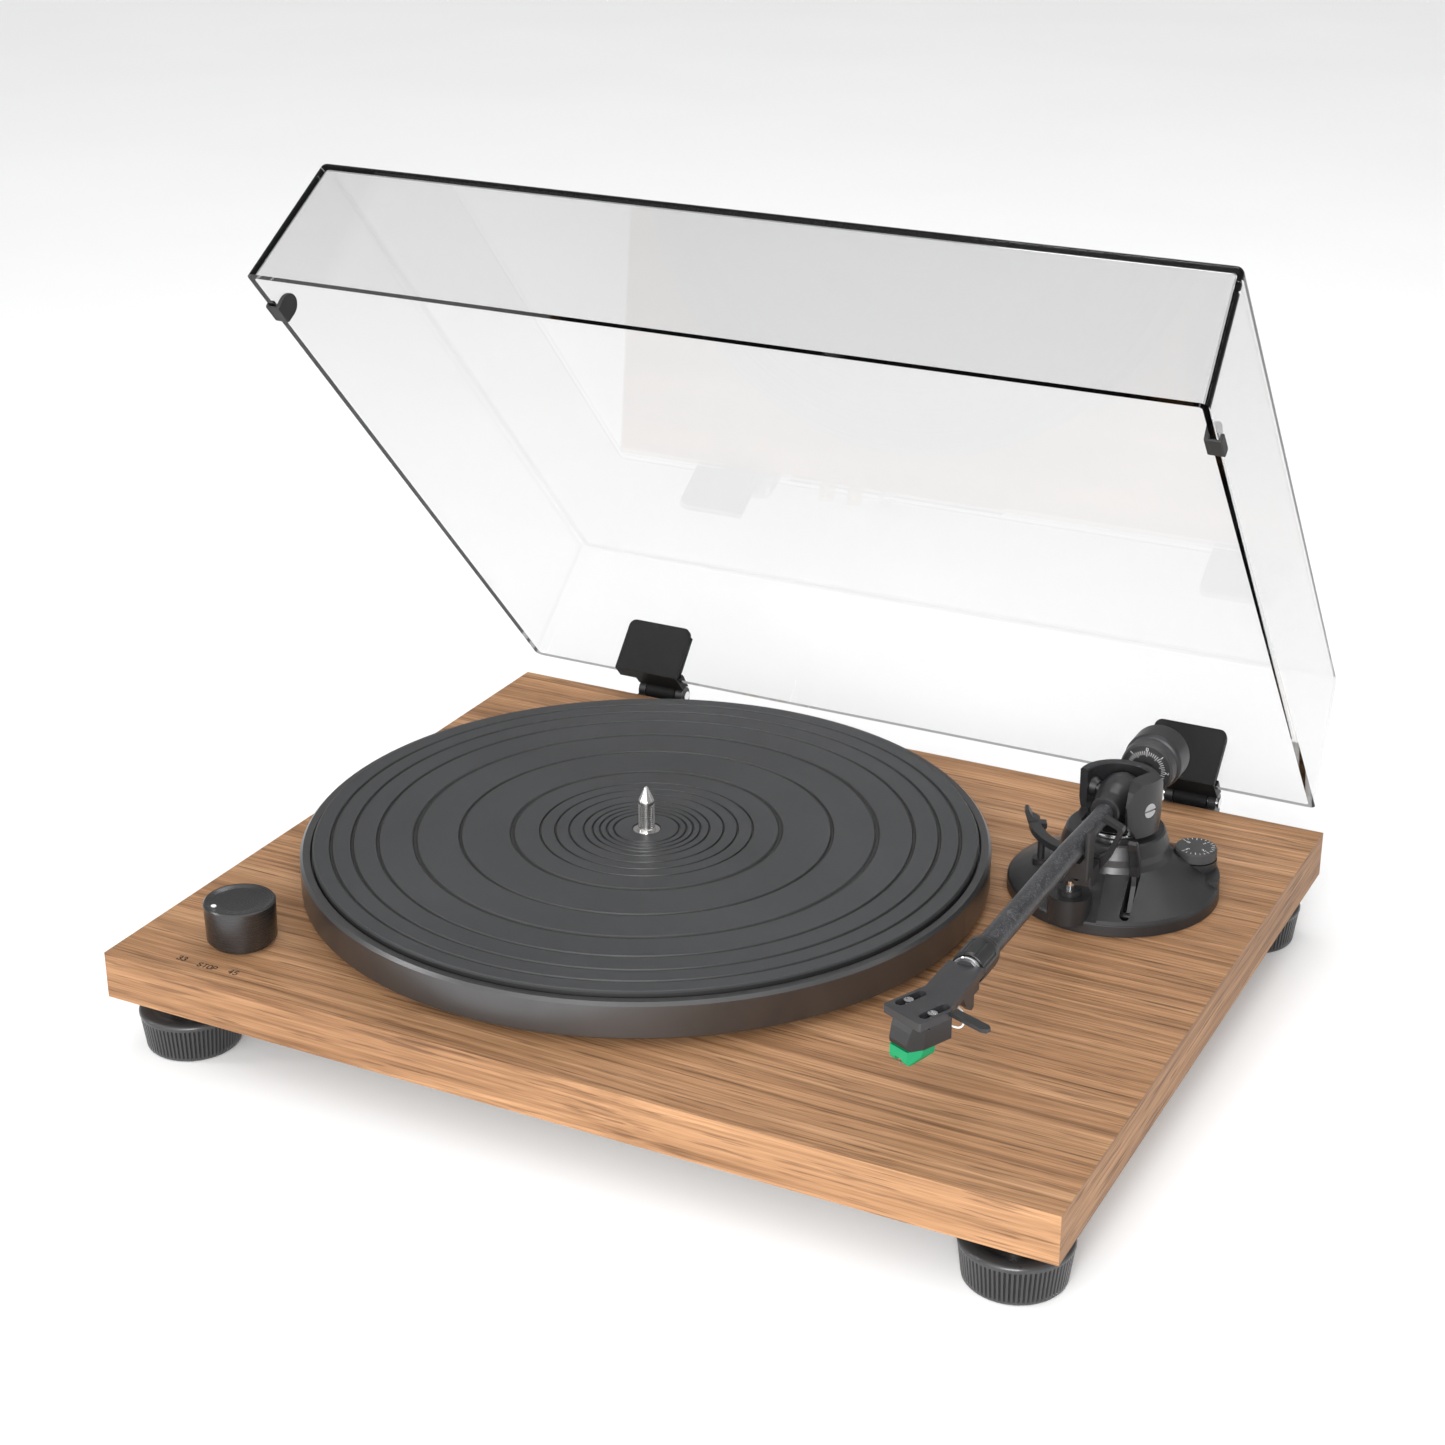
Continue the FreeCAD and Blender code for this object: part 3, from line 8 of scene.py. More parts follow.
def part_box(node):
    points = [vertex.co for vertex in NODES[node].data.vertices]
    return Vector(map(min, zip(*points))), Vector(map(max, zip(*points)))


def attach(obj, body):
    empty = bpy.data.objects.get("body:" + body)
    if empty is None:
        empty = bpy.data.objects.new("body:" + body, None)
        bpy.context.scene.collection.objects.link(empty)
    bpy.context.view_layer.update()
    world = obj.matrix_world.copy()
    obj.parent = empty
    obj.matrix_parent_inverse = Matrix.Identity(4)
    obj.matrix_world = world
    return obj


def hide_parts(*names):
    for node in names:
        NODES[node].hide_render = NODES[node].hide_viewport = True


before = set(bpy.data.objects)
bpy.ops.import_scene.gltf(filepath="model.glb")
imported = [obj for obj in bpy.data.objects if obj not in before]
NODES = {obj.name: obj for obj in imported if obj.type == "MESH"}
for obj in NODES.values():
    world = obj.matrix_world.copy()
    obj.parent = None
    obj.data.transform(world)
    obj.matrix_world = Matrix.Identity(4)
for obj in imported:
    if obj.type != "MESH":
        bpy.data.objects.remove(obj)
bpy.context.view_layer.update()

MM = 0.001                      # metres in a millimetre
TAU = 2.0 * math.pi

# ------------------------------------------------------------------ camera
camera_data = bpy.data.cameras.new("camera")
camera = bpy.data.objects.new("camera", camera_data)
bpy.context.scene.collection.objects.link(camera)
bpy.context.scene.camera = camera
LOOK_DOWN, LOOK_ROUND = 23.62, 27.02        # degrees below level, and round from the front
camera.location = (0.4523, -0.9279, 0.5685)
camera.rotation_euler = (math.radians(90.0 - LOOK_DOWN), 0.0, math.radians(LOOK_ROUND))
camera_data.sensor_width = 36.0
camera_data.lens = 65.2
camera_data.clip_start = 0.05
camera_data.clip_end = 60.0


# ------------------------------------------------------------------ materials
class Shade:
    """A material built node by node round one Principled shader."""

    def __init__(self, name):
        self.material = bpy.data.materials.new(name)
        self.material.use_nodes = True
        self.tree = self.material.node_tree
        self.tree.nodes.clear()
        self.output = self.tree.nodes.new("ShaderNodeOutputMaterial")
        self.shader = self.tree.nodes.new("ShaderNodeBsdfPrincipled")
        self.tree.links.new(self.shader.outputs[0], self.output.inputs["Surface"])
        self.place = self.tree.nodes.new("ShaderNodeTexCoord").outputs["Object"]

    def node(self, kind, settings=(), **inputs):
        """A new node. An input is named as its socket is, with _ for a space, or by its number as _0."""
        made = self.tree.nodes.new("ShaderNode" + kind)
        for key, value in dict(settings).items():
            setattr(made, key, value)
        for key, value in inputs.items():
            self.feed(made, int(key[1:]) if key[1:].isdigit() else key.replace("_", " "), value)
        return made

    def feed(self, node, key, value):
        """Link a socket to an input, or set the input to a plain value."""
        socket = node.inputs[key]
        if isinstance(value, bpy.types.NodeSocket):
            self.tree.links.new(value, socket)
        else:
            socket.default_value = value

    def set(self, **inputs):
        """Feed the Principled shader's own inputs."""
        for key, value in inputs.items():
            self.feed(self.shader, key.replace("_", " "), value)

    def scaled(self, scale, place=None):
        """The place, or another vector, times a scale along each axis."""
        return self.node("Mapping", _0=place or self.place, _3=scale).outputs[0]

    def noise(self, place, scale=1.0, detail=2.0, roughness=0.5):
        made = self.node("TexNoise", Vector=place, Scale=scale, Detail=detail, Roughness=roughness)
        return made.outputs[0]

    def ramp(self, value, *stops):
        """Colours or greys at places along 0 to 1."""
        made = self.node("ValToRGB", Fac=value)
        elements = made.color_ramp.elements
        while len(elements) < len(stops):
            elements.new(0.5)
        for element, (at, colour) in zip(elements, stops):
            element.position = at
            rgb = (colour, colour, colour) if isinstance(colour, float) else colour
            element.color = (*rgb, 1.0)
        return made.outputs[0]

    def mix(self, factor, a, b, blend="MIX"):
        made = self.node("Mix", {"data_type": "RGBA", "blend_type": blend})
        for index, value in ((0, factor), (6, a), (7, b)):
            self.feed(made, index, (*value, 1.0) if isinstance(value, tuple) else value)
        return made.outputs[2]

    def math(self, operation, a, b=0.0):
        return self.node("Math", {"operation": operation}, _0=a, _1=b).outputs[0]

    def bump(self, height, distance, strength=1.0):
        made = self.node("Bump", Height=height, Distance=distance, Strength=strength)
        self.set(Normal=made.outputs[0])

    def blend(self, a, share_a, b, share_b):
        """Two greys added by their shares."""
        return self.math("ADD", self.math("MULTIPLY", a, share_a), self.math("MULTIPLY", b, share_b))

    def parts_from(self, centre):
        """X, Y and Z of the place, measured from a centre in metres."""
        away = self.node("VectorMath", {"operation": "SUBTRACT"}, _0=self.place, _1=centre).outputs[0]
        return self.node("SeparateXYZ", _0=away).outputs

    def length(self, u, v):
        """The length of the vector that has these two parts."""
        return self.math("SQRT", self.math("ADD", self.math("MULTIPLY", u, u), self.math("MULTIPLY", v, v)))


def moulded(name, colour, roughness, metallic=0.0, grain=2600.0, depth=0.00003, worn=0.25, spread=0.06,
            **more):
    """Painted, plated or moulded surfaces: mottled colour, uneven gloss and a fine grain.

    grain is the fine noise's scale, depth its height in metres, worn how far the colour varies and
    spread how far the roughness does.
    """
    s = Shade(name)
    broad = s.noise(s.place, 55.0, 4.0, 0.6)
    fine = s.noise(s.place, grain, 3.0, 0.6)
    dark = tuple(c * (1.0 - worn) for c in colour)
    light = tuple(min(1.0, c * (1.0 + worn)) for c in colour)
    s.set(Base_Color=s.mix(s.blend(broad, 0.7, fine, 0.3), dark, light))
    low, high = max(0.02, roughness - spread), min(1.0, roughness + spread)
    s.set(Roughness=s.ramp(broad, (0.3, low), (0.7, high)), Metallic=metallic)
    s.set(**more)
    s.bump(fine, depth)
    return s.material


def turned_metal(name, colour, roughness, centre, axis="z", pitch=0.00022, depth=0.000012, metallic=1.0):
    """Metal with the fine rings, pitch metres apart, that a lathe leaves about an upright or level axis."""
    s = Shade(name)
    parts = s.parts_from(centre)
    u, v, w = {"z": (0, 1, 2), "y": (0, 2, 1), "x": (1, 2, 0)}[axis]
    line = s.math("ADD", s.length(parts[u], parts[v]), parts[w])
    rings = s.noise(s.node("CombineXYZ", _0=line).outputs[0], 1.0 / pitch, 2.0, 0.7)
    broad = s.noise(s.place, 70.0, 3.0)
    dark = tuple(c * 0.82 for c in colour)
    light = tuple(min(1.0, c * 1.18) for c in colour)
    s.set(Base_Color=s.mix(s.blend(rings, 0.5, broad, 0.5), dark, light))
    s.set(Roughness=s.ramp(rings, (0.25, roughness - 0.05), (0.75, roughness + 0.08)), Metallic=metallic)
    s.bump(rings, depth)
    return s.material


def walnut():
    """Open-pored veneer: the grain runs along X, and along Y on the two sides."""
    s = Shade("walnut_veneer")
    normal = s.node("NewGeometry").outputs["True Normal"]
    side = s.math("GREATER_THAN", s.math("ABSOLUTE", s.node("SeparateXYZ", _0=normal).outputs[0]), 0.7)
    parts = s.node("SeparateXYZ", _0=s.place).outputs
    across = s.node("CombineXYZ", _0=parts[1], _1=parts[0], _2=parts[2]).outputs[0]
    along = s.node("Mix", {"data_type": "VECTOR"})
    s.tree.links.new(side, along.inputs[0])
    s.tree.links.new(s.place, along.inputs[4])
    s.tree.links.new(across, along.inputs[5])
    bend = s.noise(s.scaled((3.0, 7.0, 7.0), along.outputs[1]), 1.0, 2.0)
    lift = s.math("MULTIPLY", s.math("SUBTRACT", bend, 0.5), 0.016)
    grain = s.node("VectorMath", {"operation": "ADD"}, _0=along.outputs[1],
                   _1=s.node("CombineXYZ", _1=lift).outputs[0]).outputs[0]
    bands = s.noise(s.scaled((1.2, 42.0, 42.0), grain), 1.0, 3.0, 0.55)
    streaks = s.noise(s.scaled((5.0, 270.0, 270.0), grain), 1.0, 4.0, 0.68)
    hairs = s.noise(s.scaled((16.0, 900.0, 900.0), grain), 1.0, 3.0, 0.6)
    pits = s.noise(s.scaled((24.0, 620.0, 620.0), grain), 1.0, 2.0, 0.6)
    pores = s.ramp(pits, (0.34, 1.0), (0.43, 0.0))
    body = s.ramp(bands, (0.3, (0.270, 0.146, 0.074)), (0.5, (0.345, 0.193, 0.100)),
                  (0.7, (0.420, 0.248, 0.136)))
    streaking = s.ramp(streaks, (0.30, (0.50, 0.44, 0.38)), (0.45, (0.86, 0.83, 0.80)),
                       (0.62, (1.16, 1.15, 1.14)))
    body = s.mix(1.0, body, streaking, "MULTIPLY")
    hairlines = s.ramp(hairs, (0.32, (0.66, 0.61, 0.56)), (0.62, (1.12, 1.12, 1.11)))
    body = s.mix(0.8, body, hairlines, "MULTIPLY")
    body = s.mix(s.math("MULTIPLY", pores, 0.6), body, (0.085, 0.040, 0.019))
    s.set(Base_Color=body, Roughness=s.ramp(streaks, (0.3, 0.5), (0.7, 0.62)))
    s.set(Specular_IOR_Level=0.25)
    s.bump(s.math("SUBTRACT", s.math("MULTIPLY", streaks, 0.5), pores), 0.00006, 0.7)
    return s.material


def forged_carbon():
    """Chopped carbon under satin lacquer: flakes that each catch the light their own way."""
    s = Shade("forged_carbon")
    wander = s.node("TexNoise", Vector=s.place, Scale=160.0).outputs[1]
    warped = s.mix(0.12, s.place, wander, "ADD")
    cells = s.node("TexVoronoi", {"feature": "F1"}, Vector=s.scaled((1.0, 0.42, 1.0), warped), Scale=310.0)
    flake = s.node("SeparateColor", _0=cells.outputs["Color"]).outputs[0]
    threads = s.noise(s.scaled((2400.0, 300.0, 2400.0)), 1.0, 2.0)
    s.set(Base_Color=s.ramp(s.blend(flake, 0.8, threads, 0.2), (0.15, (0.012, 0.012, 0.013)),
                            (0.6, (0.035, 0.035, 0.038)), (0.95, (0.11, 0.11, 0.118))))
    s.set(Roughness=s.ramp(flake, (0.2, 0.28), (0.8, 0.5)), Metallic=0.15)
    s.bump(threads, 0.00002)
    return s.material


def rubber_mat():
    """Satin rubber with a fine turned surface, and painted shade that makes it nearly black down in its
    grooves.
    """
    low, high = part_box("platter_mat")
    centre = ((low.x + high.x) / 2, (low.y + high.y) / 2, 0.0)
    s = Shade("mat_rubber")
    parts = s.parts_from(centre)
    radius = s.length(parts[0], parts[1])
    rings = s.noise(s.node("CombineXYZ", _0=radius).outputs[0], 1900.0, 2.0, 0.6)
    grit = s.noise(s.place, 2400.0, 3.0, 0.7)
    broad = s.noise(s.place, 14.0, 3.0, 0.6)
    tone = s.blend(rings, 0.4, broad, 0.6)
    lands = s.ramp(tone, (0.3, (0.021, 0.022, 0.023)), (0.7, (0.034, 0.035, 0.037)))
    # painted shade: below the mat's top the colour blends towards near black (0.004) with depth, standing in
    # for the shade down in the grooves
    height = s.node("SeparateXYZ", _0=s.place).outputs[2]
    depth_mm = s.math("MULTIPLY", s.math("SUBTRACT", high.z, height), 1000.0)
    groove_shade = s.ramp(depth_mm, (0.12, 0.0), (0.55, 0.85))
    s.set(Base_Color=s.mix(groove_shade, lands, (0.004, 0.004, 0.004)))
    s.set(Roughness=s.ramp(broad, (0.3, 0.46), (0.7, 0.58)), Specular_IOR_Level=0.5)
    s.bump(s.blend(grit, 0.7, rings, 0.3), 0.00004)
    return s.material


def acrylic():
    """Clear acrylic, very slightly grey, with faint hairline scuffs; lamps shine through it."""
    s = Shade("clear_acrylic")
    scuffs = s.noise(s.scaled((900.0, 40.0, 40.0)), 1.0, 2.0)
    s.set(Base_Color=(0.86, 0.86, 0.862, 1.0), IOR=1.3, Transmission_Weight=1.0)
    s.set(Roughness=s.ramp(scuffs, (0.66, 0.0), (0.85, 0.03)))
    clear = s.node("BsdfTransparent", Color=(0.9, 0.9, 0.905, 1.0))
    lamp = s.node("LightPath").outputs["Is Shadow Ray"]
    both = s.tree.nodes.new("ShaderNodeMixShader")
    s.tree.links.new(lamp, both.inputs[0])
    s.tree.links.new(s.shader.outputs[0], both.inputs[1])
    s.tree.links.new(clear.outputs[0], both.inputs[2])
    s.tree.links.new(both.outputs[0], s.output.inputs["Surface"])
    return s.material


def middle(node):
    """The middle of a node's box, in metres."""
    low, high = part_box(node)
    return ((low.x + high.x) / 2, (low.y + high.y) / 2, (low.z + high.z) / 2)


platter_at = middle("platter")
knob_at = middle("speed_knob")
weight_at = middle("counterweight")
skate_at = middle("antiskate_dial")

SATIN_BLACK = moulded("satin_black", (0.014, 0.014, 0.015), 0.33, worn=0.18, depth=0.00002)
SHELL_BLACK = moulded("headshell_black", (0.026, 0.026, 0.028), 0.38, worn=0.15, depth=0.00002)
PLASTIC = moulded("black_plastic", (0.015, 0.015, 0.016), 0.36, worn=0.2, grain=1800.0, depth=0.00003)
RUBBER = moulded("foot_rubber", (0.032, 0.032, 0.033), 0.33, worn=0.3, grain=1500.0, depth=0.00004)
BUMPER = moulded("bumper_rubber", (0.012, 0.012, 0.012), 0.6, worn=0.3, grain=1500.0, depth=0.00005)
CHROME = moulded("chrome_plate", (0.78, 0.78, 0.79), 0.12, 1.0, grain=900.0, depth=0.000004, worn=0.06,
                 spread=0.04)
STEEL = moulded("zinc_steel", (0.55, 0.55, 0.56), 0.3, 1.0, grain=1400.0, depth=0.00001, worn=0.12)
BRASS = moulded("brass", (0.72, 0.52, 0.26), 0.25, 1.0, grain=1200.0, depth=0.00001, worn=0.12)
BOARD = moulded("hardboard", (0.10, 0.067, 0.045), 0.8, worn=0.35, grain=700.0, depth=0.00012)
CIRCUIT = moulded("circuit", (0.03, 0.17, 0.07), 0.35, worn=0.35, grain=400.0)
GREEN = moulded("green_plastic", (0.001, 0.22, 0.085), 0.4, worn=0.12, grain=1200.0, depth=0.00002)
LEAD = moulded("lead_insulation", (0.78, 0.78, 0.77), 0.45, worn=0.1)
MARK = moulded("white_print", (0.76, 0.76, 0.75), 0.6, worn=0.12, grain=3000.0)
INK = moulded("dark_print", (0.03, 0.022, 0.018), 0.65, worn=0.3, grain=3000.0)
PLATTER = turned_metal("platter_satin", (0.115, 0.114, 0.116), 0.30, platter_at, metallic=0.9)
HINGE = moulded("hinge_black", (0.009, 0.009, 0.009), 0.5, worn=0.2, depth=0.00002, Specular_IOR_Level=0.15)
SCREW = turned_metal("screw_steel", (0.42, 0.42, 0.43), 0.32, middle("pivot_screws"), "x")
KNOB = turned_metal("knob_anodised", (0.085, 0.084, 0.086), 0.26, knob_at, metallic=0.9)
SPINDLE = turned_metal("spindle_steel", (0.62, 0.61, 0.60), 0.2, platter_at, pitch=0.00012)
WEIGHT = turned_metal("weight_black", (0.035, 0.035, 0.037), 0.38, weight_at, "y", metallic=0.5)
DIAL = turned_metal("dial_black", (0.03, 0.03, 0.031), 0.45, weight_at, "y", metallic=0.0)
SKATE = turned_metal("skate_black", (0.035, 0.035, 0.036), 0.42, skate_at, metallic=0.0)
WOOD, CARBON, MAT, CLEAR = walnut(), forged_carbon(), rubber_mat(), acrylic()

FINISH = {
    WOOD: "plinth",
    BOARD: "bottom_cover",
    STEEL: "plinth_screws motor_screws motor_bracket motor ground_terminal hinge_springs selector_switch"
           " cantilever",
    CHROME: "pillar_ring headshell_ring headshell_screws rest_post hinge_pins ground_nut",
    BRASS: "bearing_housing motor_pulley audio_jacks",
    RUBBER: "drive_belt",
    BUMPER: "lid_bumpers",
    CIRCUIT: "control_board",
    PLASTIC: "rear_panel dc_inlet speed_switch selector_slider pivot_pillar hinge_base_left hinge_base_right"
             " rest_clip lift_platform cue_lever tonearm_base arm_rest cartridge_body",
    SATIN_BLACK: "arm_yoke arm_housing rear_stub locking_collar finger_lift",
    SHELL_BLACK: "headshell",
    HINGE: "hinge_plate_left hinge_plate_right",
    PLATTER: "platter",
    MAT: "platter_mat",
    SCREW: "pivot_screws",
    KNOB: "speed_knob",
    SPINDLE: "spindle",
    WEIGHT: "counterweight",
    DIAL: "force_dial",
    SKATE: "antiskate_dial",
    CARBON: "arm_tube",
    GREEN: "stylus_assembly",
    LEAD: "lead_wires",
    MARK: "knob_dot",
    CLEAR: "dust_cover",
}
for finish, names in FINISH.items():
    for name in names.split():
        for item in NODES[name].material_slots:
            item.material = finish


# ------------------------------------------------------------------ mesh pieces
def piece(name, verts, faces, material, body, smooth=True, angle=40.0):
    """A mesh object with one material that rides on a body."""
    mesh = bpy.data.meshes.new(name)
    mesh.from_pydata([tuple(v) for v in verts], [], faces)
    mesh.validate()
    work = bmesh.new()
    work.from_mesh(mesh)
    bmesh.ops.remove_doubles(work, verts=work.verts, dist=1e-7)
    bmesh.ops.recalc_face_normals(work, faces=work.faces)
    work.to_mesh(mesh)
    work.free()
    made = bpy.data.objects.new(name, mesh)
    bpy.context.scene.collection.objects.link(made)
    mesh.materials.append(material)
    if smooth:
        mesh.shade_smooth()
        mesh.set_sharp_from_angle(angle=math.radians(angle))
    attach(made, body)
    return made


def lathe(rings, count, wave=None, at=(0.0, 0.0, 0.0)):
    """Points and faces of a turned form about an upright line through at, in metres.

    rings are (radius, height, share of the wave) along the outline, the first two in mm. The wave gives
    how far the surface lies in at an angle.
    """
    verts, faces = [], []
    for r, z, share in rings:
        for i in range(count):
            a = TAU * i / count
            radius = r - (wave(a) * share if wave and share else 0.0)
            out = radius * MM
            verts.append((at[0] + out * math.cos(a), at[1] + out * math.sin(a), at[2] + z * MM))
    for k in range(len(rings) - 1):
        for i in range(count):
            j = (i + 1) % count
            faces.append((k * count + i, k * count + j, (k + 1) * count + j, (k + 1) * count + i))
    faces.append(tuple(range(count))[::-1])
    faces.append(tuple((len(rings) - 1) * count + i for i in range(count)))
    return verts, faces


def prism(verts, faces, near, far):
    """Add the points and faces of a form with two like ends."""
    start, n = len(verts), len(near)
    verts += near + far
    faces.append(tuple(start + n + i for i in range(n)))
    faces.append(tuple(start + i for i in range(n))[::-1])
    for i in range(n):
        j = (i + 1) % n
        faces.append((start + i, start + j, start + n + j, start + n + i))


# feet: rubber pads with upright ribs under a plain lip
RIBS = 72
RIB_DEPTH = 0.95                            # mm
RIB_TOP, RIB_FLANK = 0.27, 0.13             # half the flat top and one flank, as shares of a rib's pitch
POINTS_PER_RIB = 8
FOOT_RINGS = [
    (18.2, 0.0, 0.0), (19.2, 0.25, 0.0), (19.75, 0.9, 0.0), (19.85, 1.7, 0.0), (19.95, 2.1, 1.0),
    (20.1, 3.4, 1.0), (21.35, 13.4, 1.0), (21.6, 15.0, 1.0), (21.7, 15.4, 0.0), (21.85, 15.8, 0.0),
    (21.9, 16.6, 0.0), (21.5, 17.5, 0.0), (20.6, 18.0, 0.0), (16.0, 18.0, 0.0), (14.5, 16.8, 0.0),
    (8.0, 16.8, 0.0), (7.0, 25.4, 0.0),
]


def rib(angle):
    """How far the surface lies in from the rib tops, in mm."""
    t = (angle * RIBS / TAU) % 1.0
    return RIB_DEPTH * min(1.0, max(0.0, (abs(t - 0.5) - RIB_TOP) / RIB_FLANK))


for corner, body in (("front_left", "foot_fl"), ("front_right", "foot_fr"), ("rear_left", "foot_rl"),
                     ("rear_right", "foot_rr")):
    x, y, _ = middle("foot_" + corner)
    verts, faces = lathe(FOOT_RINGS, RIBS * POINTS_PER_RIB, rib, (x, y, 0.0))
    foot = piece("ribbed_foot_" + corner, verts, faces, RUBBER, body, angle=50.0)
    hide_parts("foot_" + corner)

# spindle: turned grooves below a cone, all in mm
PIN_RADIUS, GROOVE_RADIUS, GROOVE_PITCH = 3.55, 3.2, 1.0
FIRST_GROOVE, GROOVES_END = 1.4, 8.4        # above the mat, and below the tip
PIN_POINTS = 64                             # points round the spindle
base_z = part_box("platter_mat")[1].z / MM
tip_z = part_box("spindle")[1].z / MM
profile = [(5.0, base_z - 18.0), (5.9, base_z - 17.0), (5.9, base_z - 0.4), (4.05, base_z - 0.4),
           (4.05, base_z + 0.45), (3.6, base_z + 0.8)]
z = base_z + FIRST_GROOVE
while z < tip_z - GROOVES_END:
    profile += [(PIN_RADIUS, z), (GROOVE_RADIUS, z + 0.22), (GROOVE_RADIUS, z + 0.5), (PIN_RADIUS, z + 0.72),
                (PIN_RADIUS, z + GROOVE_PITCH)]
    z += GROOVE_PITCH
profile += [(PIN_RADIUS, tip_z - 6.9), (3.42, tip_z - 6.2), (3.1, tip_z - 5.7), (0.95, tip_z - 0.7),
            (0.55, tip_z - 0.2), (0.2, tip_z)]
rings = [(radius, z, 0.0) for radius, z in profile]
verts, faces = lathe(rings, PIN_POINTS, None, (platter_at[0], platter_at[1], 0.0))
pin = piece("grooved_spindle", verts, faces, SPINDLE, "platter_group", angle=35.0)
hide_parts("spindle")


def strokes(name, bars, depth, place, material, body):
    """Printed bars, each four corners on a face. place turns (u, v, height) in mm into a point in metres."""
    verts, faces = [], []
    for corners in bars:
        near, far = ([place(u, v, h) for u, v in corners] for h in (0.0, depth))
        prism(verts, faces, near, far)
    piece(name, verts, faces, material, body, smooth=False)


# plain numerals and a few capitals, drawn as chains of points in a cell of this width and height
GLYPH_WIDTH, GLYPH_HEIGHT = 1.65, 3.0
GLYPHS = {
    "0": [[(0.3, 0), (1.3, 0), (1.6, 0.5), (1.6, 2.5), (1.3, 3), (0.3, 3), (0, 2.5), (0, 0.5), (0.3, 0)]],
    "1": [[(0.4, 2.5), (0.9, 3), (0.9, 0)]],
    "2": [[(0, 2.5), (0.4, 3), (1.3, 3), (1.6, 2.5), (1.6, 2), (0, 0), (1.6, 0)]],
    "3": [[(0, 2.6), (0.4, 3), (1.3, 3), (1.6, 2.5), (1.5, 1.8), (0.7, 1.6), (1.5, 1.3), (1.6, 0.5), (1.2, 0),
           (0.3, 0), (0, 0.5)]],
    "4": [[(1.2, 0), (1.2, 3), (0, 1), (1.7, 1)]],
    "5": [[(1.5, 3), (0.2, 3), (0.1, 1.7), (1.2, 1.8), (1.6, 1.3), (1.6, 0.5), (1.2, 0), (0.3, 0), (0, 0.4)]],
    "S": [[(1.6, 2.5), (1.2, 3), (0.4, 3), (0, 2.5), (0.1, 1.8), (1.5, 1.3), (1.6, 0.5), (1.2, 0), (0.4, 0),
           (0, 0.5)]],
    "T": [[(0, 3), (1.7, 3)], [(0.85, 3), (0.85, 0)]],
    "O": [[(0.4, 0), (1.3, 0), (1.7, 0.6), (1.7, 2.4), (1.3, 3), (0.4, 3), (0, 2.4), (0, 0.6), (0.4, 0)]],
    "P": [[(0, 0), (0, 3), (1.2, 3), (1.6, 2.6), (1.6, 1.9), (1.2, 1.5), (0, 1.5)]],
}


STROKE_OVERLAP = 0.6            # how far a bar runs past its points, in half stroke widths


def lettering(text, height, weight, at=(0.0, 0.0), step=2.5):
    """Bars of the glyphs of text, centred on at, in mm. step is the glyphs' spacing in their own units."""
    unit = height / GLYPH_HEIGHT
    width = (len(text) * step - (step - GLYPH_WIDTH)) * unit
    bars = []
    for k, sign in enumerate(text):
        for chain in GLYPHS[sign]:
            for (x0, y0), (x1, y1) in zip(chain, chain[1:]):
                a = Vector((x0, y0)) * unit
                b = Vector((x1, y1)) * unit
                along = (b - a).normalized() * weight / 2
                over = Vector((-along.y, along.x))
                shift = Vector((at[0] - width / 2 + k * step * unit, at[1] - height / 2))
                a, b = a - along * STROKE_OVERLAP + shift, b + along * STROKE_OVERLAP + shift
                bars.append([a - over, b - over, b + over, a + over])
    return bars


plinth_low, plinth_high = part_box("plinth")
plinth_middle = (plinth_low + plinth_high) / 2


def on_plinth(u, v, h):
    """A point on the plinth's top, from its middle."""
    return (plinth_middle.x + u * MM, plinth_middle.y + v * MM, plinth_high.z + h * MM)


LABEL_HEIGHT, LABEL_WEIGHT, LABEL_DEPTH = 2.9, 0.52, 0.03        # mm
for text, at in (("33", (-178.0, -159.7)), ("STOP", (-164.6, -160.6)), ("45", (-152.0, -159.9))):
    strokes("label_" + text, lettering(text, LABEL_HEIGHT, LABEL_WEIGHT, at), LABEL_DEPTH, on_plinth, INK,
            "base")

# marks on the two dials
DIAL_FACE_INSET = 0.2                       # mm from the dial's front-most edge back to its marked face
DIAL_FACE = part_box("force_dial")[0].y + DIAL_FACE_INSET * MM
SKATE_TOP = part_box("antiskate_dial")[1].z


def on_dial(u, v, h):
    """A point on the force dial's front face, from its middle."""
    return (weight_at[0] + u * MM, DIAL_FACE - h * MM, weight_at[2] + v * MM)


def on_skate(u, v, h):
    """A point on the anti-skate dial's top, from its middle."""
    return (skate_at[0] + u * MM, skate_at[1] + v * MM, SKATE_TOP + h * MM)


def tick(angle, r0, r1, width):
    """A radial bar; angle 0 is up and grows clockwise."""
    across, up = math.sin(math.radians(angle)), math.cos(math.radians(angle))
    corners = ((r0, -width / 2), (r0, width / 2), (r1, width / 2), (r1, -width / 2))
    return [(r * across + over * up, r * up - over * across) for r, over in corners]


def turned_text(text, angle, radius, height, weight):
    """Numerals set round a dial at a tick's angle, their feet towards its middle."""
    c, d = math.cos(math.radians(angle)), math.sin(math.radians(angle))
    return [[(x * c + (y + radius) * d, -x * d + (y + radius) * c) for x, y in bar]
            for bar in lettering(text, height, weight)]


MARK_WIDTH, NUMERAL_WEIGHT, MARK_DEPTH = 0.24, 0.26, 0.02        # mm
# force dial: fifty ticks all round, every fifth one longer, and numerals every eighth of a turn
bars = [tick(i * 7.2, 7.0 if i % 5 else 6.2, 8.8, MARK_WIDTH) for i in range(50)]
for i, numeral in enumerate("01234321"):
    bars += turned_text(numeral, i * 45.0, 9.75, 1.5, NUMERAL_WEIGHT)
strokes("force_dial_marks", bars, MARK_DEPTH, on_dial, MARK, "dial")
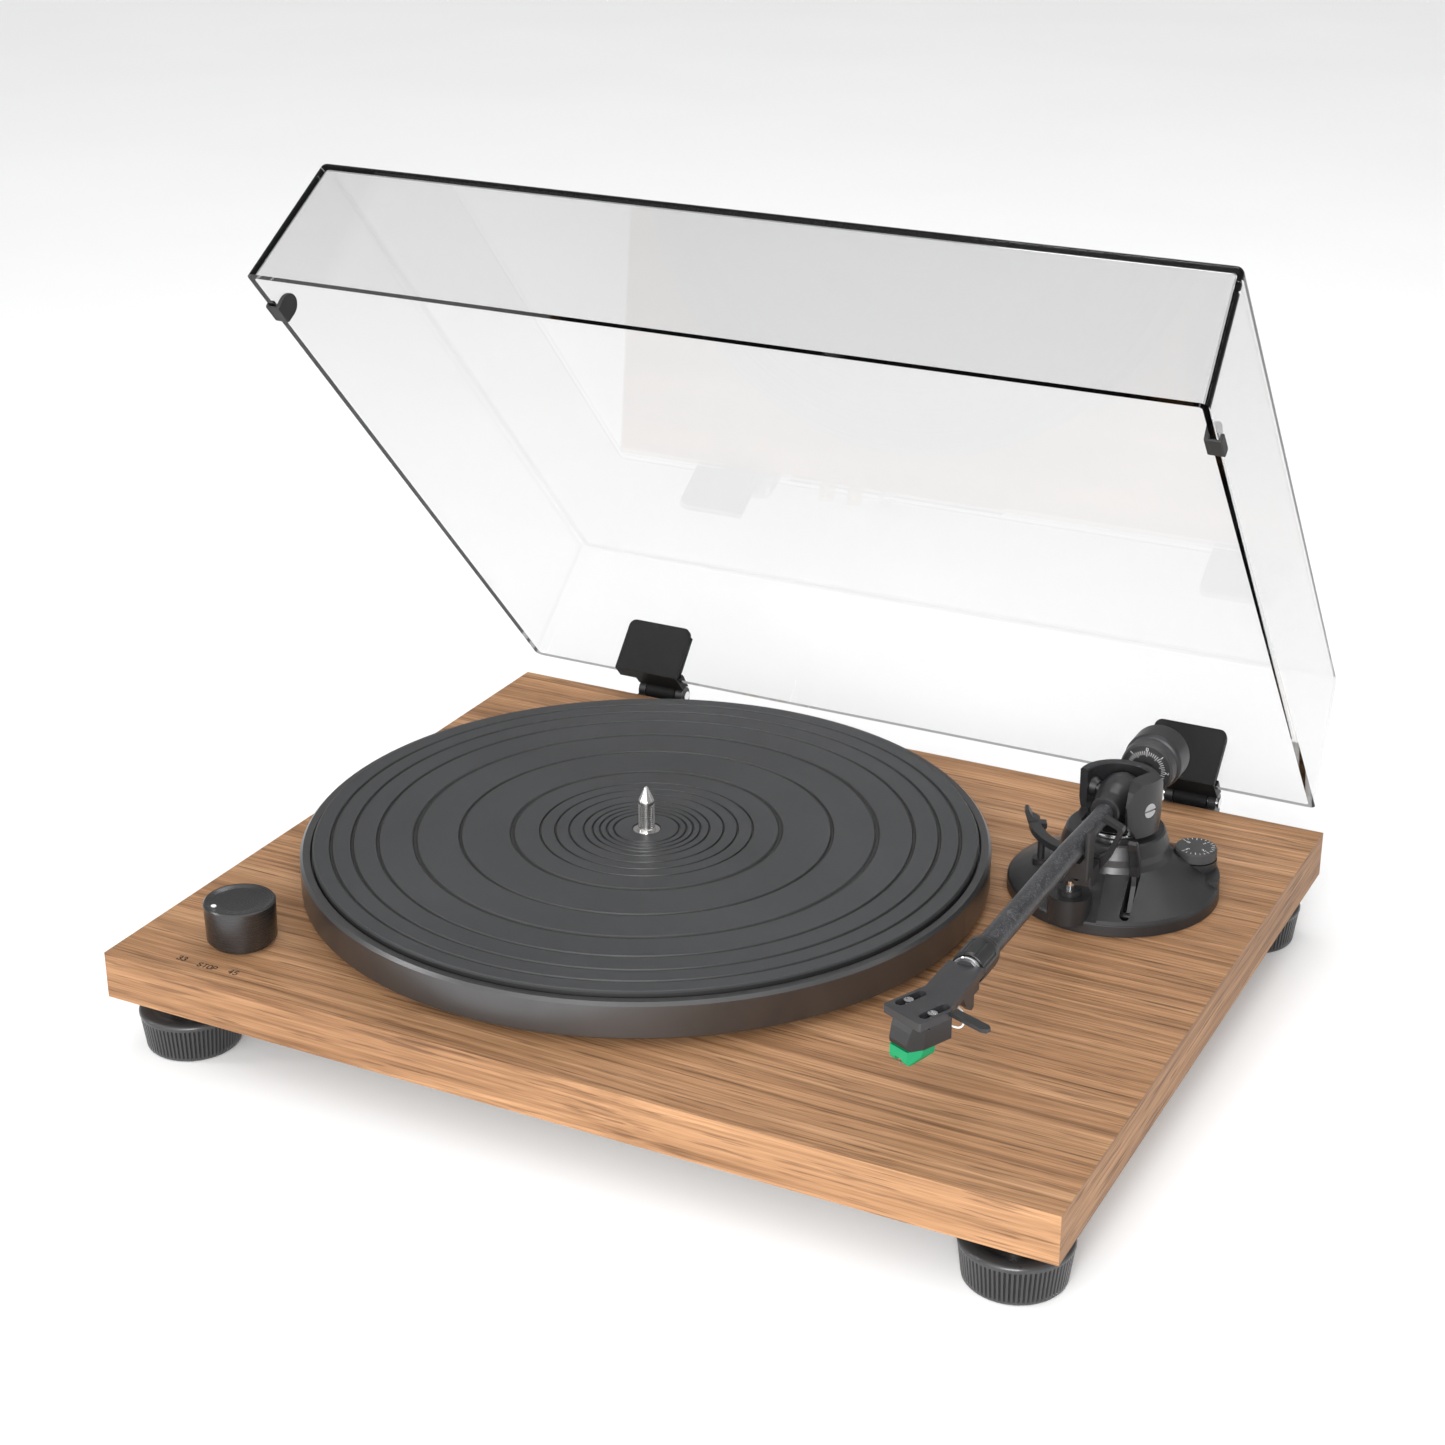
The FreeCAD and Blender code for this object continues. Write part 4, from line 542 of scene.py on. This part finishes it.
# anti-skate dial: ticks over three quarters of a turn, and a numeral at each quarter
SKATE_START = -60.0                                              # degrees
bars = [tick(SKATE_START + i * 15.0, 7.0 if i % 3 else 6.4, 8.2, MARK_WIDTH) for i in range(19)]
for i, numeral in enumerate("0123"):
    bars += turned_text(numeral, SKATE_START + i * 90.0, 4.9, 1.6, NUMERAL_WEIGHT)
strokes("antiskate_marks", bars, MARK_DEPTH, on_skate, MARK, "antiskate")

# bumpers: round-headed clips over the lid's side rims, drawn with the lid shut and then opened with it
LID_OPEN = math.radians(48.4)
hinge_low, hinge_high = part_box("hinge_pins")
HINGE_LINE = Vector((0.0, (hinge_low.y + hinge_high.y) / 2, (hinge_low.z + hinge_high.z) / 2))
OPENED = Matrix.Translation(HINGE_LINE) @ Matrix.Rotation(-LID_OPEN, 4, "X") @ Matrix.Translation(-HINGE_LINE)
CLIP_Y, CLIP_Z = -161.6, 47.0               # the middle of a clip's foot, with the lid shut, in mm
HEAD_RADIUS, HEAD_RISE = 5.5, 5.0           # the round head, and its centre's height over the foot, in mm
LEAN_OVER = 10.2                            # the height, in mm, over which a form leans by its full measure
HEAD = [(-5.2, 0.6), (-4.6, 0.0), (4.6, 0.0), (5.2, 0.6), (HEAD_RADIUS, HEAD_RISE)]
HEAD += [(HEAD_RADIUS * math.cos(k * math.pi / 12), HEAD_RISE + HEAD_RADIUS * math.sin(k * math.pi / 12))
         for k in range(1, 12)]
HEAD += [(-HEAD_RADIUS, HEAD_RISE)]
LIP = [(-5.2, 0.6), (-4.6, 0.0), (4.6, 0.0), (5.2, 0.6), (5.4, 3.4), (4.4, 4.2), (-4.4, 4.2), (-5.4, 3.4)]
WEB = [(-5.1, 0.1), (5.1, 0.1), (5.1, 1.1), (-5.1, 1.1)]
# each form's outline in Y and Z, its two faces in X, and how far it leans inwards, all in mm
CLIP_FORMS = ((HEAD, 199.8, 201.7, 0.9), (LIP, 205.3, 206.5, 0.2), (WEB, 199.9, 206.4, 0.0))
for side, sign in (("left", -1.0), ("right", 1.0)):
    verts, faces = [], []
    for outline, inner, outer, slope in CLIP_FORMS:
        near, far = ([OPENED @ (Vector((sign * (x - slope * z / LEAN_OVER), CLIP_Y + y, CLIP_Z + z)) * MM)
                      for y, z in outline] for x in (inner, outer))
        prism(verts, faces, near, far)
    clip = piece("lid_bumper_" + side, verts, faces, BUMPER, "lid", angle=30.0)
    soft = clip.modifiers.new("soft", "BEVEL")
    soft.width = 0.35 * MM
    soft.segments = 2
    soft.limit_method = "ANGLE"
    soft.angle_limit = math.radians(35.0)
    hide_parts("lid_bumpers")

# ------------------------------------------------------------------ floor and light
FLOOR_REACH, FLOOR_DROP = 55.0, 0.0002       # metres from the middle, and below the feet
FLOOR_CORNERS = [(x * FLOOR_REACH, y * FLOOR_REACH, 0.0) for x, y in ((-1, -1), (1, -1), (1, 1), (-1, 1))]
floor_mesh = bpy.data.meshes.new("floor")
floor_mesh.from_pydata(FLOOR_CORNERS, [], [(0, 1, 2, 3)])
floor = bpy.data.objects.new("floor", floor_mesh)
bpy.context.scene.collection.objects.link(floor)
ground = Shade("studio_paper")
ground.set(Base_Color=ground.ramp(ground.noise(ground.place, 3.0, 2.0), (0.3, 0.90), (0.7, 0.92)))
ground.set(Roughness=0.9, Specular_IOR_Level=0.1)
floor_mesh.materials.append(ground.material)
floor.location.z = -FLOOR_DROP

world = bpy.data.worlds.new("studio")
bpy.context.scene.world = world
world.use_nodes = True
background = world.node_tree.nodes["Background"]
background.inputs["Color"].default_value = (1.0, 1.0, 1.0, 1.0)
background.inputs["Strength"].default_value = 0.4
AIM = Vector((0.0, 0.0, 0.05))              # where the softboxes point


def hang_light(name, data, place, towards):
    """Hang a light at place. It shines away from the direction towards."""
    made = bpy.data.objects.new(name, data)
    bpy.context.scene.collection.objects.link(made)
    made.location = place
    made.rotation_euler = towards.to_track_quat("Z", "Y").to_euler()


def sun(name, azimuth, elevation, strength, spread):
    """A soft, even light. Azimuth 0 comes from the front, 90 from the right. Angles are in degrees."""
    data = bpy.data.lights.new(name, "SUN")
    data.energy = strength
    data.angle = math.radians(spread)
    a, e = math.radians(azimuth), math.radians(elevation)
    towards = Vector((math.sin(a) * math.cos(e), -math.cos(a) * math.cos(e), math.sin(e)))
    hang_light(name, data, (0.0, 0.0, 0.0), towards)


def softbox(name, place, size, power):
    """A rectangular lamp turned towards the record player. Power is in watts."""
    data = bpy.data.lights.new(name, "AREA")
    data.shape = "RECTANGLE"
    data.size, data.size_y = size
    data.energy = power
    hang_light(name, data, place, Vector(place) - AIM)


sun("front_light", 0.0, 20.0, 1.7, 60.0)
sun("top_light", 20.0, 78.0, 0.85, 80.0)
softbox("key_box", (0.42, -1.15, 0.42), (0.5, 0.4), 14.0)
softbox("left_box", (-1.5, -1.0, 0.9), (0.2, 1.5), 9.0)
softbox("right_box", (1.9, 0.7, 1.1), (0.3, 1.5), 2.0)
softbox("high_box", (0.1, 0.9, 1.9), (1.4, 0.5), 9.0)
bpy.context.scene.view_settings.view_transform = "Standard"
